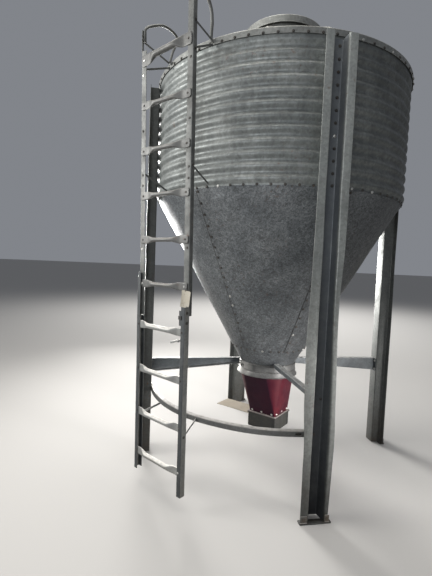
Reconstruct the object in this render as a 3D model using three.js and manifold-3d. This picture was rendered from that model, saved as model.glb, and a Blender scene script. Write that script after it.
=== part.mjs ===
// Hopper-bottom grain silo on four legs: corrugated wall, conical roof with a
// hinged fill lid, bolted hopper cone, round-to-square boot with a slide gate,
// tapered braces from the legs to the outlet, and a two-part access ladder.
//
// Units: millimetres, +Z up. The origin is the middle of the bounding box at
// ground level. The silo's own axis is parallel to Z, AXIS_Y in front of it,
// because the ladder stands out on the -Y side.

import * as THREE from 'three';
import { mergeVertices } from 'three/addons/utils/BufferGeometryUtils.js';
import Module from 'manifold-3d';

const wasm = await Module();
wasm.setup();

// ---------------------------------------------------------------- dimensions
const GAP = 0.4;                 // clearance between touching pieces

const AXIS_X = 0;                // silo axis in the object's frame
const AXIS_Y = 119.22;

const R_CREST = 1024;            // wall, outside of the corrugation crests
const CORR_DEPTH = 18;           // corrugation depth
const R_VALLEY = R_CREST - CORR_DEPTH;
const Z_JOIN = 2107;             // wall to hopper cone
const Z_EAVE = 3040;             // top of the wall

const ROOF_T = 4;
const ROOF_SLOPE = 30;           // degrees
const R_EAVE = 1032;             // outside of the turned-down eave band
const EAVE_BAND = 40;
const R_FILL = 303;              // fill collar, outside
const FILL_T = 5;
const Z_FILL_TOP = 3536;

const R_LID = 335;
const LID_T = 5;
const Z_LID_SKIRT = 3488;
const Z_LID_EDGE = 3547;
const Z_LID_TOP = 3584;
const HINGE_Y = 385;             // lid hinge, behind the fill collar
const HINGE_Z = 3504;
const PIN_R = 6;

const CONE_T = 4.5;
const R_SEAM = 316;              // hopper cone, outside, at its lower seam
const Z_SEAM = 890;
const Z_LAP = 925;               // lower cone runs up inside the gores to here
const Z_COLLAR_TOP = 760;
const Z_COLLAR_BOTTOM = 662;
const R_COLLAR_RIM = 262;

const BOOT_DX = 40;              // the boot's square end is off the axis
const BOOT_HALF = 127;
const BOOT_T = 6;
const Z_BOOT_TOP = 742;
const Z_BOOT_FLANGE = 314;
const Z_BOOT_BOTTOM = 306;
const BOOT_FLANGE_HALF = 139;
const BOOT_EDGE = 28;            // degrees, half of what a flat side takes of the round top

const GATE_HALF = 129;           // gate housing, outside
const GATE_T = 6;
const Z_GATE_BOTTOM = 178;
const LEDGE_HALF = 84;           // between the ledges that carry the plate
const PLATE_HALF = 92;           // slide gate plate, half its width
const PLATE_T = 6;
const PLATE_LENGTH = 390;
const Z_PLATE = 264;             // underside of the plate
const PLATE_OUT = -470;          // outer end of the plate, pulled open

const LEG_TURN = 1.4;            // degrees that the joints of wall and roof stand off the diagonals
const LEG_ANGLES = { front_left: -132.1, front_right: -43.6, back_right: 44.2, back_left: 136.4 };
const LEG_TOP = 2984;
const LEG_WEB = 100;
const LEG_DEPTH = 88;
const LEG_DEPTH_SHALLOW = 76;    // the front left one, pressed flatter
const LEG_LIP = 50;
const LEG_T = 5;
const LEG_R = R_CREST + GAP;     // inner face of the leg's web
const BASE = { inner: 1080, outer: 1124, half: 106, t: 8 };

// The front right leg is bent: at the heights z, how far its left lip's edge,
// the outer end of its right wall and its right lip's edge are out of place.
const BENT = {
  z: [0, 300, 530, 760, 1180, 1440, 1700, 2000, LEG_TOP],
  left: [0, 0, 0, 14, 20, 8, 8, 0, 0],
  wall: [14, 17, 18, 16, 5, 2, 0, 0, 0],
  right: [-19, -8, 0, -8, -21, -20, -8, 0, 0]
};

const BRACE_Z_TOP = 790;
const BRACE_Z_OUTER = 678;
const BRACE_Z_INNER = 742;
const BRACE_Z_SHALLOW = 752;     // underside of the front right one, not tapered
const BRACE_W = 40;
const BRACE_T = 5;

const RAIL_Z = 556;              // top of the ladder's support rail
const RAIL_LEG = 38;             // height of its face
const RAIL_DEPTH = 34;           // depth of its top flange
const RAIL_T = 5;
const RAIL_R = LEG_R - GAP;      // outer face of the rail

// Ladder sections: middle of the stiles' outer faces at height z, turn of the
// rungs from the X direction, lean (top outwards) and half the width between
// the stiles' free edges. All from the silo's axis.
const UPPER = { x: -161, y: -1210, z: 2056, turn: 0, lean: 1.43, half: 181 };
const LOWER = { x: -154, y: -1221, z: 556, turn: -5.2, lean: 0.6, half: 208 };
const STILE_T = 3.5;
const UPPER_ANGLE = { face: 44, depth: 32 };     // upper stiles are angles
const LOWER_CHANNEL = { face: 33, depth: 44 };   // lower stiles are channels
const RUNG_R = 14;
const RUNG_R_LOWER = 17;
const RUNG_R_TOP = 19;
const RUNG_END = { inner: 30, outer: 34, half: 27, t: 7, taper: 62 };      // flattened ends
const TOP_END_HALF = 38;
const HOOP_R = { left: 9, right: 11 };
const STRUT_W = 15;
const RUNG_Z0 = 256;
const RUNG_STEP = 300;
const RUNGS = 10;
const RUNGS_LOWER = 4;
const TOP_RUNG_TILT = 4.4;
const RUNG_SHIFT = [0, -9, 0, 9, -7, -8, -15, -19, -21, -18];     // how far each sits off the even pitch
const UPPER_STILE = { left: [1230, 2992], right: [1262, 3240] };
const LEFT_TOP = { z: 3130, depth: 14 };         // the left one goes on as a narrow strip
const LOWER_STILE = { left: [120, 1525], right: [95, 1325] };
const CUT_BACK = 1222;           // the left channel's inner flange stops under the upper angle

// ------------------------------------------------------------------- colours
const METAL = {
  galvanised: [0x8a8f8d, 0.55, 0.75],
  hopper: [0x6b7174, 0.5, 0.75],
  bright: [0xa8a9a4, 0.45, 0.8],
  ladder: [0x8f8d88, 0.6, 0.6],
  dark: [0x3b3d3d, 0.7, 0.4],
  dusty: [0xb5ac97, 0.85, 0.1],
  boot: [0x5c2527, 0.55, 0.0]
};

// ------------------------------------------------------------------- helpers
const rad = (d) => d * Math.PI / 180;

// Closed solid from vertex rings joined in a loop, each ring a closed curve. With
// capped set, the first and last rings are closed off in place of being joined.
function ringLoop(rings, capped = false) {
  const m = rings.length, n = rings[0].length;
  const pos = [], index = [];
  for (const ring of rings) for (const p of ring) pos.push(p[0], p[1], p[2]);
  for (let i = 0; i < (capped ? m - 1 : m); i++) {
    for (let j = 0; j < n; j++) {
      const a = i * n + j, b = i * n + (j + 1) % n;
      const c = ((i + 1) % m) * n + j, d = ((i + 1) % m) * n + (j + 1) % n;
      index.push(a, b, c, b, d, c);
    }
  }
  if (capped) {
    const e = (m - 1) * n;
    for (let j = 1; j < n - 1; j++) index.push(0, j + 1, j, e, e + j, e + j + 1);
  }
  return orient(toGeometry(pos, index));
}

// Solid made by turning a closed (r, z) outline about Z from a0 to a1 degrees.
function turned(points, a0, a1, steps) {
  const full = a1 - a0 >= 360;
  const flat = points.map(([r, z]) => new THREE.Vector2(r, z));
  if (THREE.ShapeUtils.area(flat) < 0) flat.reverse();
  const n = flat.length, rows = full ? steps : steps + 1;
  const pos = [], index = [];
  for (let i = 0; i < rows; i++) {
    const a = rad(a0 + (a1 - a0) * i / steps);
    for (const { x: r, y: z } of flat) pos.push(r * Math.cos(a), r * Math.sin(a), z);
  }
  for (let i = 0; i < steps; i++) {
    const k = (i + 1) % rows;
    for (let j = 0; j < n; j++) {
      const a = i * n + j, b = i * n + (j + 1) % n;
      const c = k * n + j, d = k * n + (j + 1) % n;
      index.push(a, c, b, b, c, d);
    }
  }
  if (!full) {
    const e = (rows - 1) * n;
    for (const [p, q, s] of THREE.ShapeUtils.triangulateShape(flat, [])) {
      index.push(p, q, s);
      index.push(e + p, e + s, e + q);
    }
  }
  return clean(toGeometry(pos, index));
}

// Merges equal vertices and drops the triangles that this collapses.
function clean(g) {
  const m = mergeVertices(g, 1e-4);
  const idx = m.getIndex().array, keep = [];
  for (let i = 0; i < idx.length; i += 3) {
    const [a, b, c] = [idx[i], idx[i + 1], idx[i + 2]];
    if (a !== b && b !== c && c !== a) keep.push(a, b, c);
  }
  m.setIndex(keep);
  return m;
}

function toGeometry(pos, index) {
  const g = new THREE.BufferGeometry();
  g.setAttribute('position', new THREE.Float32BufferAttribute(pos, 3));
  g.setIndex(index);
  return g;
}

// Turns every face outwards if the enclosed volume comes out negative.
function orient(g) {
  const p = g.getAttribute('position'), idx = Array.from(g.getIndex().array);
  const a = new THREE.Vector3(), b = new THREE.Vector3(), c = new THREE.Vector3();
  let v = 0;
  for (let i = 0; i < idx.length; i += 3) {
    a.fromBufferAttribute(p, idx[i]); b.fromBufferAttribute(p, idx[i + 1]); c.fromBufferAttribute(p, idx[i + 2]);
    v += a.dot(b.cross(c));
  }
  if (v < 0) for (let i = 0; i < idx.length; i += 3) { const k = idx[i + 1]; idx[i + 1] = idx[i + 2]; idx[i + 2] = k; }
  g.setIndex(idx);
  return g;
}

function solid(geometry) {
  let g = geometry.clone();
  g.deleteAttribute('normal');
  g.deleteAttribute('uv');
  g = clean(g.index ? g : mergeVertices(g, 1e-4));
  return new wasm.Manifold(new wasm.Mesh({
    numProp: 3,
    vertProperties: new Float32Array(g.getAttribute('position').array),
    triVerts: new Uint32Array(g.getIndex().array)
  }));
}

function fromSolid(m) {
  const mesh = m.getMesh();
  return toGeometry(Array.from(mesh.vertProperties), Array.from(mesh.triVerts));
}

const union = (...gs) => fromSolid(gs.map(solid).reduce((a, b) => a.add(b)));
const cut = (g, ...tools) => fromSolid(tools.map(solid).reduce((a, b) => a.subtract(b), solid(g)));

function box(x0, x1, y0, y1, z0, z1) {
  const g = new THREE.BoxGeometry(x1 - x0, y1 - y0, z1 - z0);
  g.translate((x0 + x1) / 2, (y0 + y1) / 2, (z0 + z1) / 2);
  return g;
}

// Prism: outline in (x, y), from z0 up to z1.
function prismZ(points, z0, z1, steps = 1) {
  const g = new THREE.ExtrudeGeometry(new THREE.Shape(points.map(([x, y]) => new THREE.Vector2(x, y))),
    { depth: z1 - z0, bevelEnabled: false, steps });
  g.translate(0, 0, z0);
  return g;
}

// Prism: outline in (x, z), from y0 to y1.
function prismY(points, y0, y1) {
  const g = new THREE.ExtrudeGeometry(new THREE.Shape(points.map(([x, z]) => new THREE.Vector2(x, z))),
    { depth: y1 - y0, bevelEnabled: false, steps: 1 });
  g.rotateX(Math.PI / 2);
  g.translate(0, y1, 0);
  return g;
}

// Prism: outline in (y, z), from x0 to x1.
function prismX(points, x0, x1) {
  const g = new THREE.ExtrudeGeometry(new THREE.Shape(points.map(([y, z]) => new THREE.Vector2(y, z))),
    { depth: x1 - x0, bevelEnabled: false, steps: 1 });
  g.applyMatrix4(new THREE.Matrix4().set(0, 0, 1, x0, 1, 0, 0, 0, 0, 1, 0, 0, 0, 0, 0, 1));
  return g;
}

// Round bar along Y.
function barY(r, y0, y1, sides, x = 0, z = 0) {
  const g = new THREE.CylinderGeometry(r, r, y1 - y0, sides, 1);
  g.translate(x, (y0 + y1) / 2, z);
  return g;
}

// Round bar along X.
function barX(r, x0, x1, sides, y = 0, z = 0) {
  const g = new THREE.CylinderGeometry(r, r, x1 - x0, sides, 1);
  g.rotateZ(Math.PI / 2);
  g.translate((x0 + x1) / 2, y, z);
  return g;
}

// Round bar along a path.
function barAlong(points, r, sides, steps) {
  const path = new THREE.CatmullRomCurve3(points.map((p) => new THREE.Vector3(...p)), false, 'centripetal');
  const shape = new THREE.Shape();
  for (let i = 0; i < sides; i++) {
    const a = i / sides * 2 * Math.PI;
    if (i === 0) shape.moveTo(r * Math.cos(a), r * Math.sin(a));
    else shape.lineTo(r * Math.cos(a), r * Math.sin(a));
  }
  return new THREE.ExtrudeGeometry(shape, { steps, extrudePath: path, bevelEnabled: false });
}

// Flat bar with upright ends, in a plane y = const, from (x0, z0) to (x1, z1).
function flatBar(x0, z0, x1, z1, width, y0, y1) {
  const h = width / 2 * Math.hypot(x1 - x0, z1 - z0) / Math.abs(x1 - x0);
  return prismY([[x0, z0 + h], [x1, z1 + h], [x1, z1 - h], [x0, z0 - h]], Math.min(y0, y1), Math.max(y0, y1));
}

const silo = new THREE.Group();
silo.position.set(AXIS_X, AXIS_Y, 0);

function add(name, geometry, finish, parent = silo) {
  const [color, roughness, metalness] = METAL[finish];
  const material = new THREE.MeshStandardMaterial({ color, roughness, metalness });
  const mesh = new THREE.Mesh(geometry, material);
  mesh.name = name;
  parent.add(mesh);
  return mesh;
}

function at(angle) {
  const g = new THREE.Group();
  g.rotation.z = rad(angle);
  silo.add(g);
  return g;
}

// ---------------------------------------------------------------------- wall
// One curved sheet to each bay between two legs. Its thickness is the whole
// depth of the corrugation.
const BAYS = { right: 0, back: 90, left: 180, front: 270 };
const edge = 0.02;
for (const [name, a] of Object.entries(BAYS)) {
  add(`wall_sheet_${name}`, turned([
    [R_VALLEY, Z_JOIN], [R_CREST, Z_JOIN], [R_CREST, Z_EAVE], [R_VALLEY, Z_EAVE]
  ], a - 45 + LEG_TURN + edge, a + 45 + LEG_TURN - edge, 15), 'galvanised');
}

// ---------------------------------------------------------------------- roof
const slope = Math.tan(rad(ROOF_SLOPE));
const roofZ = (r) => Z_EAVE + 0.5 + (R_EAVE - r) * slope;       // upper side
const roofV = ROOF_T / Math.cos(rad(ROOF_SLOPE));
for (const [name, a] of Object.entries(BAYS)) {
  add(`roof_panel_${name}`, turned([
    [R_FILL + GAP, roofZ(R_FILL + GAP)], [R_EAVE, roofZ(R_EAVE)],
    [R_EAVE, Z_EAVE - EAVE_BAND], [R_EAVE - ROOF_T, Z_EAVE - EAVE_BAND],
    [R_EAVE - ROOF_T, roofZ(R_EAVE - ROOF_T) - roofV], [R_FILL + GAP, roofZ(R_FILL + GAP) - roofV]
  ], a - 45 + LEG_TURN + edge, a + 45 + LEG_TURN - edge, 15), 'galvanised');
}

// ------------------------------------------------------- fill collar and lid
const flangeR = 346;
const lift = GAP / Math.cos(rad(ROOF_SLOPE));
const collarRing = turned([
  [R_FILL - FILL_T, roofZ(R_FILL) - 30], [R_FILL, roofZ(R_FILL) - 30], [R_FILL, roofZ(R_FILL) + lift],
  [flangeR, roofZ(flangeR) + lift], [flangeR, roofZ(flangeR) + lift + 4],
  [R_FILL, roofZ(R_FILL) + lift + 4], [R_FILL, Z_FILL_TOP], [R_FILL - FILL_T, Z_FILL_TOP]
], -45, 315, 60);
const cheek = (x0, x1) => prismX([
  [330, roofZ(330) + lift + 1], [402, roofZ(402) + 3], [402, HINGE_Z + 14], [378, HINGE_Z + 14],
  [350, HINGE_Z - 22], [330, HINGE_Z - 34]
], x0, x1);
add('fill_collar', union(collarRing, cheek(-43, -38), cheek(38, 43),
  barX(PIN_R, -50, 50, 16, HINGE_Y, HINGE_Z)), 'galvanised');

const lidShell = turned([
  [0, Z_LID_TOP], [0, Z_LID_TOP - LID_T], [150, Z_LID_TOP - 6 - LID_T], [285, Z_LID_EDGE + 12 - LID_T],
  [R_LID - LID_T, Z_LID_EDGE - LID_T], [R_LID - LID_T, Z_LID_SKIRT], [R_LID, Z_LID_SKIRT],
  [R_LID, Z_LID_EDGE], [285, Z_LID_EDGE + 12], [150, Z_LID_TOP - 6]
], 0, 360, 40);
const lug = cut(
  union(prismX([[R_LID - 4, HINGE_Z - 12], [HINGE_Y, HINGE_Z - 12], [HINGE_Y, HINGE_Z + 12], [R_LID - 4, HINGE_Z + 22]], -32, 32),
    barX(13, -32, 32, 16, HINGE_Y, HINGE_Z)),
  barX(PIN_R + 0.6, -40, 40, 16, HINGE_Y, HINGE_Z));
add('fill_lid', union(lidShell, lug), 'galvanised');

// --------------------------------------------------------------- hopper cone
const coneDr = (R_VALLEY * Math.cos(rad(3)) - 0.5 - R_SEAM) / (Z_JOIN - 1 - Z_SEAM);    // radius gained per mm of height
const coneR = (z, inward = 0) => R_SEAM + (z - Z_SEAM) * coneDr - inward * Math.hypot(1, coneDr);
const GORE_0 = -92.7;
const CONE_FLANGE = 2150;
for (let i = 0; i < 6; i++) {
  const a = GORE_0 + 60 * i;
  add(`hopper_gore_${i + 1}`, turned([
    [coneR(Z_SEAM), Z_SEAM], [coneR(Z_JOIN - 1), Z_JOIN - 1], [coneR(Z_JOIN - 1), CONE_FLANGE],
    [coneR(Z_JOIN - 1) - CONE_T, CONE_FLANGE], [coneR(Z_JOIN - 1) - CONE_T, Z_JOIN + 1],
    [coneR(Z_SEAM, CONE_T), Z_SEAM]
  ], a + edge, a + 60 - edge, 10), 'hopper');
}

// Lower cone and the flared collar round its mouth.
const inn = CONE_T + GAP;
const collarIn = 238.6;
add('hopper_outlet', turned([
  [coneR(Z_LAP, inn), Z_LAP], [coneR(772, inn), 772], [collarIn + 6, 764], [collarIn + 6, 708],
  [251, 690], [R_COLLAR_RIM, Z_COLLAR_BOTTOM], [R_COLLAR_RIM - 6, Z_COLLAR_BOTTOM], [246, 687], [collarIn, 705], [collarIn, 750],
  [coneR(762, inn + 4), 752], [coneR(762, inn + 4), 762], [coneR(Z_LAP, inn + 4), Z_LAP]
], GORE_0, GORE_0 + 360, 60), 'hopper');

// ---------------------------------------------------------------------- boot
const ARC_N = 4, SIDE_N = 6;     // points on a corner and on a side
// Ring at height z. With t = 0 it is the circle of radius r, with t = 1 the
// rounded square; flat = 1 makes the sides' parts of the circle straight.
function bootRing(z, t, flat, r, half, corner) {
  const ring = [];
  const round = (d) => [r * Math.cos(rad(d)), r * Math.sin(rad(d))];
  const square = (q, d) => {
    const a = rad(90 * q + 45), k = (half - corner) * Math.SQRT2;
    return [k * Math.cos(a) + corner * Math.cos(rad(90 * q + d)), k * Math.sin(a) + corner * Math.sin(rad(90 * q + d))];
  };
  const put = ([x0, y0], [x1, y1]) => ring.push([(1 - t) * x0 + t * (x1 + BOOT_DX), (1 - t) * y0 + t * y1, z]);
  for (let q = 0; q < 4; q++) {
    for (let i = 0; i <= ARC_N; i++) {
      put(round(90 * q + BOOT_EDGE + (90 - 2 * BOOT_EDGE) * i / ARC_N), square(q, 90 * i / ARC_N));
    }
    const [ax, ay] = round(90 * q + 90 - BOOT_EDGE), [bx, by] = round(90 * q + 90 + BOOT_EDGE);
    const [cx, cy] = square(q, 90), [dx, dy] = square(q + 1, 0);
    for (let i = 1; i < SIDE_N; i++) {
      const k = i / SIDE_N, [x, y] = round(90 * q + 90 - BOOT_EDGE + 2 * BOOT_EDGE * k);
      put([x + (ax + (bx - ax) * k - x) * flat, y + (ay + (by - ay) * k - y) * flat], [cx + (dx - cx) * k, cy + (dy - cy) * k]);
    }
  }
  return ring;
}
const bootLevels = [[Z_BOOT_TOP, 0, 0], [690, 0, 0], [645, 0.06, 0.7], [600, 0.2, 0.7], [550, 0.36, 0.7], [490, 0.53, 0.7],
  [420, 0.73, 0.7], [360, 0.91, 0.7], [Z_BOOT_FLANGE + 6, 1, 0]];
const outer = bootLevels.map(([z, t, f]) => bootRing(z, t, f, 238.2, BOOT_HALF, 14));
const innerRings = bootLevels.map(([z, t, f]) => bootRing(z, t, f, 238.2 - BOOT_T, BOOT_HALF - BOOT_T, 8));
add('boot', ringLoop([
  ...outer,
  bootRing(Z_BOOT_FLANGE, 1, 0, 0, BOOT_FLANGE_HALF, 12),
  bootRing(Z_BOOT_BOTTOM, 1, 0, 0, BOOT_FLANGE_HALF, 12),
  bootRing(Z_BOOT_BOTTOM, 1, 0, 0, BOOT_HALF - BOOT_T, 8),
  ...innerRings.reverse()
]), 'boot');

// ---------------------------------------------------------------- slide gate
const gx0 = BOOT_DX - GATE_HALF, gx1 = BOOT_DX + GATE_HALF;
const zTopFace = Z_BOOT_BOTTOM - GAP;
const throat = GATE_HALF - GATE_T;
add('gate_housing', cut(
  union(
    box(BOOT_DX - BOOT_FLANGE_HALF, BOOT_DX + BOOT_FLANGE_HALF, -BOOT_FLANGE_HALF, BOOT_FLANGE_HALF, zTopFace - 8, zTopFace),
    box(gx0, gx1, -GATE_HALF, GATE_HALF, Z_GATE_BOTTOM, zTopFace - 1)),
  box(BOOT_DX - throat, BOOT_DX + throat, -LEDGE_HALF, LEDGE_HALF, Z_GATE_BOTTOM - 5, zTopFace + 5),
  box(BOOT_DX - throat, BOOT_DX + throat, -throat, throat, Z_PLATE - 5, zTopFace - 8),
  box(BOOT_DX - throat, BOOT_DX + throat, -throat, throat, Z_GATE_BOTTOM - 5, Z_PLATE - 12),
  box(gx0 - 5, BOOT_DX - throat + 5, -PLATE_HALF - 5, PLATE_HALF + 5, Z_PLATE - 5, Z_PLATE + PLATE_T + 5)
), 'dark');
add('gate_plate', fromSolid(solid(
  box(PLATE_OUT, PLATE_OUT + PLATE_LENGTH, -PLATE_HALF, PLATE_HALF, Z_PLATE, Z_PLATE + PLATE_T))), 'dusty');

// ---------------------------------------------------------------------- legs
const lx = LEG_R, hw = LEG_WEB / 2, hl = hw + LEG_LIP, lt = LEG_T;
const along = (row, z) => {
  let i = 1;
  while (i < BENT.z.length - 1 && BENT.z[i] < z) i++;
  return row[i - 1] + (row[i] - row[i - 1]) * (z - BENT.z[i - 1]) / (BENT.z[i] - BENT.z[i - 1]);
};
function bend(g) {
  const lo = lx + LEG_DEPTH;
  const p = g.getAttribute('position');
  for (let i = 0; i < p.count; i++) {
    const x = p.getX(i), y = p.getY(i), z = p.getZ(i);
    if (y > hl - 1) p.setY(i, y + along(BENT.right, z));
    else if (y > 0) p.setY(i, y + along(BENT.wall, z) * Math.max(0, Math.min(1, (x - lx - lt) / (lo - 2 * lt - lx))));
    else if (y < 1 - hl) p.setY(i, y - along(BENT.left, z));
  }
  return g;
}
for (const [name, a] of Object.entries(LEG_ANGLES)) {
  const g = at(a), bent = name === 'front_right', lo = lx + (name === 'front_left' ? LEG_DEPTH_SHALLOW : LEG_DEPTH);
  const section = prismZ([[lx, -hw], [lx, hw], [lo - lt, hw], [lo - lt, hl], [lo, hl], [lo, hw - lt], [lx + lt, hw - lt],
    [lx + lt, -hw + lt], [lo, -hw + lt], [lo, -hl], [lo - lt, -hl], [lo - lt, -hw]], 1, LEG_TOP, bent ? 16 : 1);
  add(`leg_${name}`, union(
    bent ? bend(section) : section,
    box(BASE.inner, BASE.outer, -BASE.half, BASE.half, 0, BASE.t)
  ), 'galvanised', g);

  // channel from the leg to the outlet cone, tapered on three of the legs
  const x1 = LEG_R - GAP, w = BRACE_W / 2, t = BRACE_T;
  const z1 = bent ? BRACE_Z_SHALLOW : BRACE_Z_OUTER, z0 = bent ? BRACE_Z_SHALLOW : BRACE_Z_INNER;
  const brace = union(
    prismY([[x1, z1], [x1, BRACE_Z_TOP], [200, BRACE_Z_TOP], [200, z0]], -w, -w + t),
    box(200, x1, -w, w, BRACE_Z_TOP - t, BRACE_Z_TOP),
    prismY([[x1, z1], [x1, z1 + t], [200, z0 + t], [200, z0]], -w, w),
    box(x1 - t, x1, -42, 42, z1 - 8, BRACE_Z_TOP));
  const core = turned([
    [0, 700], [collarIn + 6 + GAP, 700], [collarIn + 6 + GAP, 765], [coneR(772, inn - GAP), 771],
    [coneR(800, inn - GAP), 800], [0, 800]], 0, 360, 60);
  add(`brace_${name}`, cut(brace, core), 'galvanised', g);
}

// ------------------------------------------------------------- ladder's rail
add('ladder_rail', turned([
  [RAIL_R - RAIL_DEPTH, RAIL_Z - RAIL_T], [RAIL_R - RAIL_T, RAIL_Z - RAIL_T], [RAIL_R - RAIL_T, RAIL_Z - RAIL_LEG],
  [RAIL_R, RAIL_Z - RAIL_LEG], [RAIL_R, RAIL_Z], [RAIL_R - RAIL_DEPTH, RAIL_Z]
], LEG_TURN - 137.5, LEG_TURN - 42.5, 19), 'bright');

// -------------------------------------------------------------------- ladder
// In a section's own frame +X points away from the silo, +Y along the rungs to
// the right, and x = 0 is the outer face of the stiles.
function section({ x, y, z, turn, lean }) {
  const frame = new THREE.Group(), body = new THREE.Group();
  frame.position.set(x, y, z);
  frame.rotation.set(0, rad(lean), rad(turn - 90), 'ZYX');
  body.position.z = -z;
  frame.add(body);
  silo.add(frame);
  return body;
}
const upper = section(UPPER), lower = section(LOWER);

// Angle: a face from y = half outwards, and a web towards the silo.
function angle(side, half, { face, depth }, z0, z1) {
  const y0 = side * half, y1 = side * (half + face), t = STILE_T, yw = y1 - side * t;
  return prismZ([[0, y0], [0, y1], [-depth, y1], [-depth, yw], [-t, yw], [-t, y0]], z0, z1);
}

// Channel: the same with a second flange on the silo's side.
function channel(side, half, { face, depth }, z0, z1) {
  const y0 = side * half, y1 = side * (half + face), t = STILE_T, yw = y1 - side * t;
  return prismZ([[0, y0], [0, y1], [-depth, y1], [-depth, y0], [t - depth, y0], [t - depth, yw], [-t, yw], [-t, y0]], z0, z1);
}

// From the silo's frame into the upper section's.
function inUpper(x, y, z) {
  const c = Math.cos(rad(UPPER.lean)), n = Math.sin(rad(UPPER.lean));
  const a = UPPER.y - y, d = z - UPPER.z;
  return [a * c - d * n, x - UPPER.x, a * n + d * c + UPPER.z];
}

for (const [name, side] of [['left', -1], ['right', 1]]) {
  const yo = side * (UPPER.half + UPPER_ANGLE.face), yw = yo - side * STILE_T;  // the web
  const sx = UPPER.x + yo;                                                      // its place along X
  const strut = (zs, z, r, x0 = 8 - UPPER_ANGLE.depth) => {
    const [wx, , wz] = inUpper(sx, -Math.sqrt(r * r - sx * sx), z);
    return flatBar(x0, zs, wx, wz, STRUT_W, yw, yo);
  };
  const struts = side < 0
    ? [box(-LEFT_TOP.depth, 0, Math.min(yw, yo), Math.max(yw, yo), UPPER_STILE.left[1] - 5, LEFT_TOP.z),
      strut(3062, 3028, R_EAVE + 6, -6), strut(2881, 2999, R_EAVE + 6)]
    : [strut(3062, 3020, R_EAVE + 6), strut(2897, 2999, R_EAVE + 6)];
  add(`ladder_upper_stile_${name}`, union(
    angle(side, UPPER.half, UPPER_ANGLE, ...UPPER_STILE[name]),
    ...struts, strut(2208, 2124, R_CREST + 6)
  ), 'ladder', upper);

  // hand hoop: up out of the stile, over the eave and back down to its band
  const hr = HOOP_R[name], hx = sx - side * (STILE_T + 1 + hr), foot = -Math.sqrt((R_EAVE + 1 + hr) ** 2 - hx * hx);
  const path = side < 0
    ? [[-1218, 3054], [-1220, 3100], [-1219, 3136], [-1197, 3163], [-1160, 3189], [-1118, 3214], [-1076, 3236],
      [-1031, 3249], [-990, 3252], [-946, 3247], [-915, 3234], [-905, 3212], [-918, 3184], [-938, 3145], [-953, 3112],
      [-967, 3070], [foot - 2, 3040], [foot - 2, 3012]]
    : [[-1216, 3100], [-1218, 3170], [-1218, 3225], [-1205, 3270], [-1170, 3296], [-1125, 3288], [-1082, 3250],
      [-1052, 3205], [-1040, 3140], [foot - 1, 3080], [foot - 2, 3045], [foot - 2, 3012]];
  add(`ladder_hoop_${name}`, barAlong(path.map(([y, z]) => inUpper(hx, y, z)), hr, 8, 32), 'ladder', upper);
}

// stand-off from a lower stile's web back to the rail, bent aside by the given distance
function standOff(side, zs, x, z, aside) {
  const yo = side * (LOWER.half + LOWER_CHANNEL.face), y1 = yo - aside, t = STILE_T * side, h = 11;
  const x0 = 8 - LOWER_CHANNEL.depth;
  return ringLoop([
    [[x0, yo - t, zs - h], [x0, yo - t, zs + h], [x0, yo, zs + h], [x0, yo, zs - h]],
    [[x, y1 - t, z - h], [x, y1 - t, z + h], [x, y1, z + h], [x, y1, z - h]]
  ], true);
}
// the rail's outer face, moved into the lower section's frame
function railFace() {
  const g = new THREE.CylinderGeometry(RAIL_R + GAP, RAIL_R + GAP, 200, 120, 1);
  g.rotateX(Math.PI / 2);
  g.translate(0, 0, RAIL_Z - 40);
  silo.updateMatrixWorld(true);
  const toLower = lower.matrixWorld.clone().invert().multiply(silo.matrixWorld);
  return g.applyMatrix4(toLower);
}
add('ladder_lower_stile_left', union(
  channel(-1, LOWER.half, LOWER_CHANNEL, LOWER_STILE.left[0], CUT_BACK),
  angle(-1, LOWER.half, { face: LOWER_CHANNEL.face, depth: 38 }, CUT_BACK - 5, LOWER_STILE.left[1]),
  cut(standOff(-1, 503, -250, 532, 0), railFace())), 'ladder', lower);

// the right stile carries the joint plate: out behind its face, then back to the upper section
const inner = LOWER.half - 36;
add('ladder_lower_stile_right', union(
  channel(1, LOWER.half, LOWER_CHANNEL, ...LOWER_STILE.right),
  cut(standOff(1, 492, -240, 530, 92), railFace()),
  cut(box(-STILE_T - 5, -STILE_T + 1, inner, LOWER.half + 26, 1205, 1300),
    barX(11, -30, 30, 12, LOWER.half - 14, 1257)),
  box(-52.6, -STILE_T - 1, inner, inner + 5, 1205, 1300)), 'ladder', lower);

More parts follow.
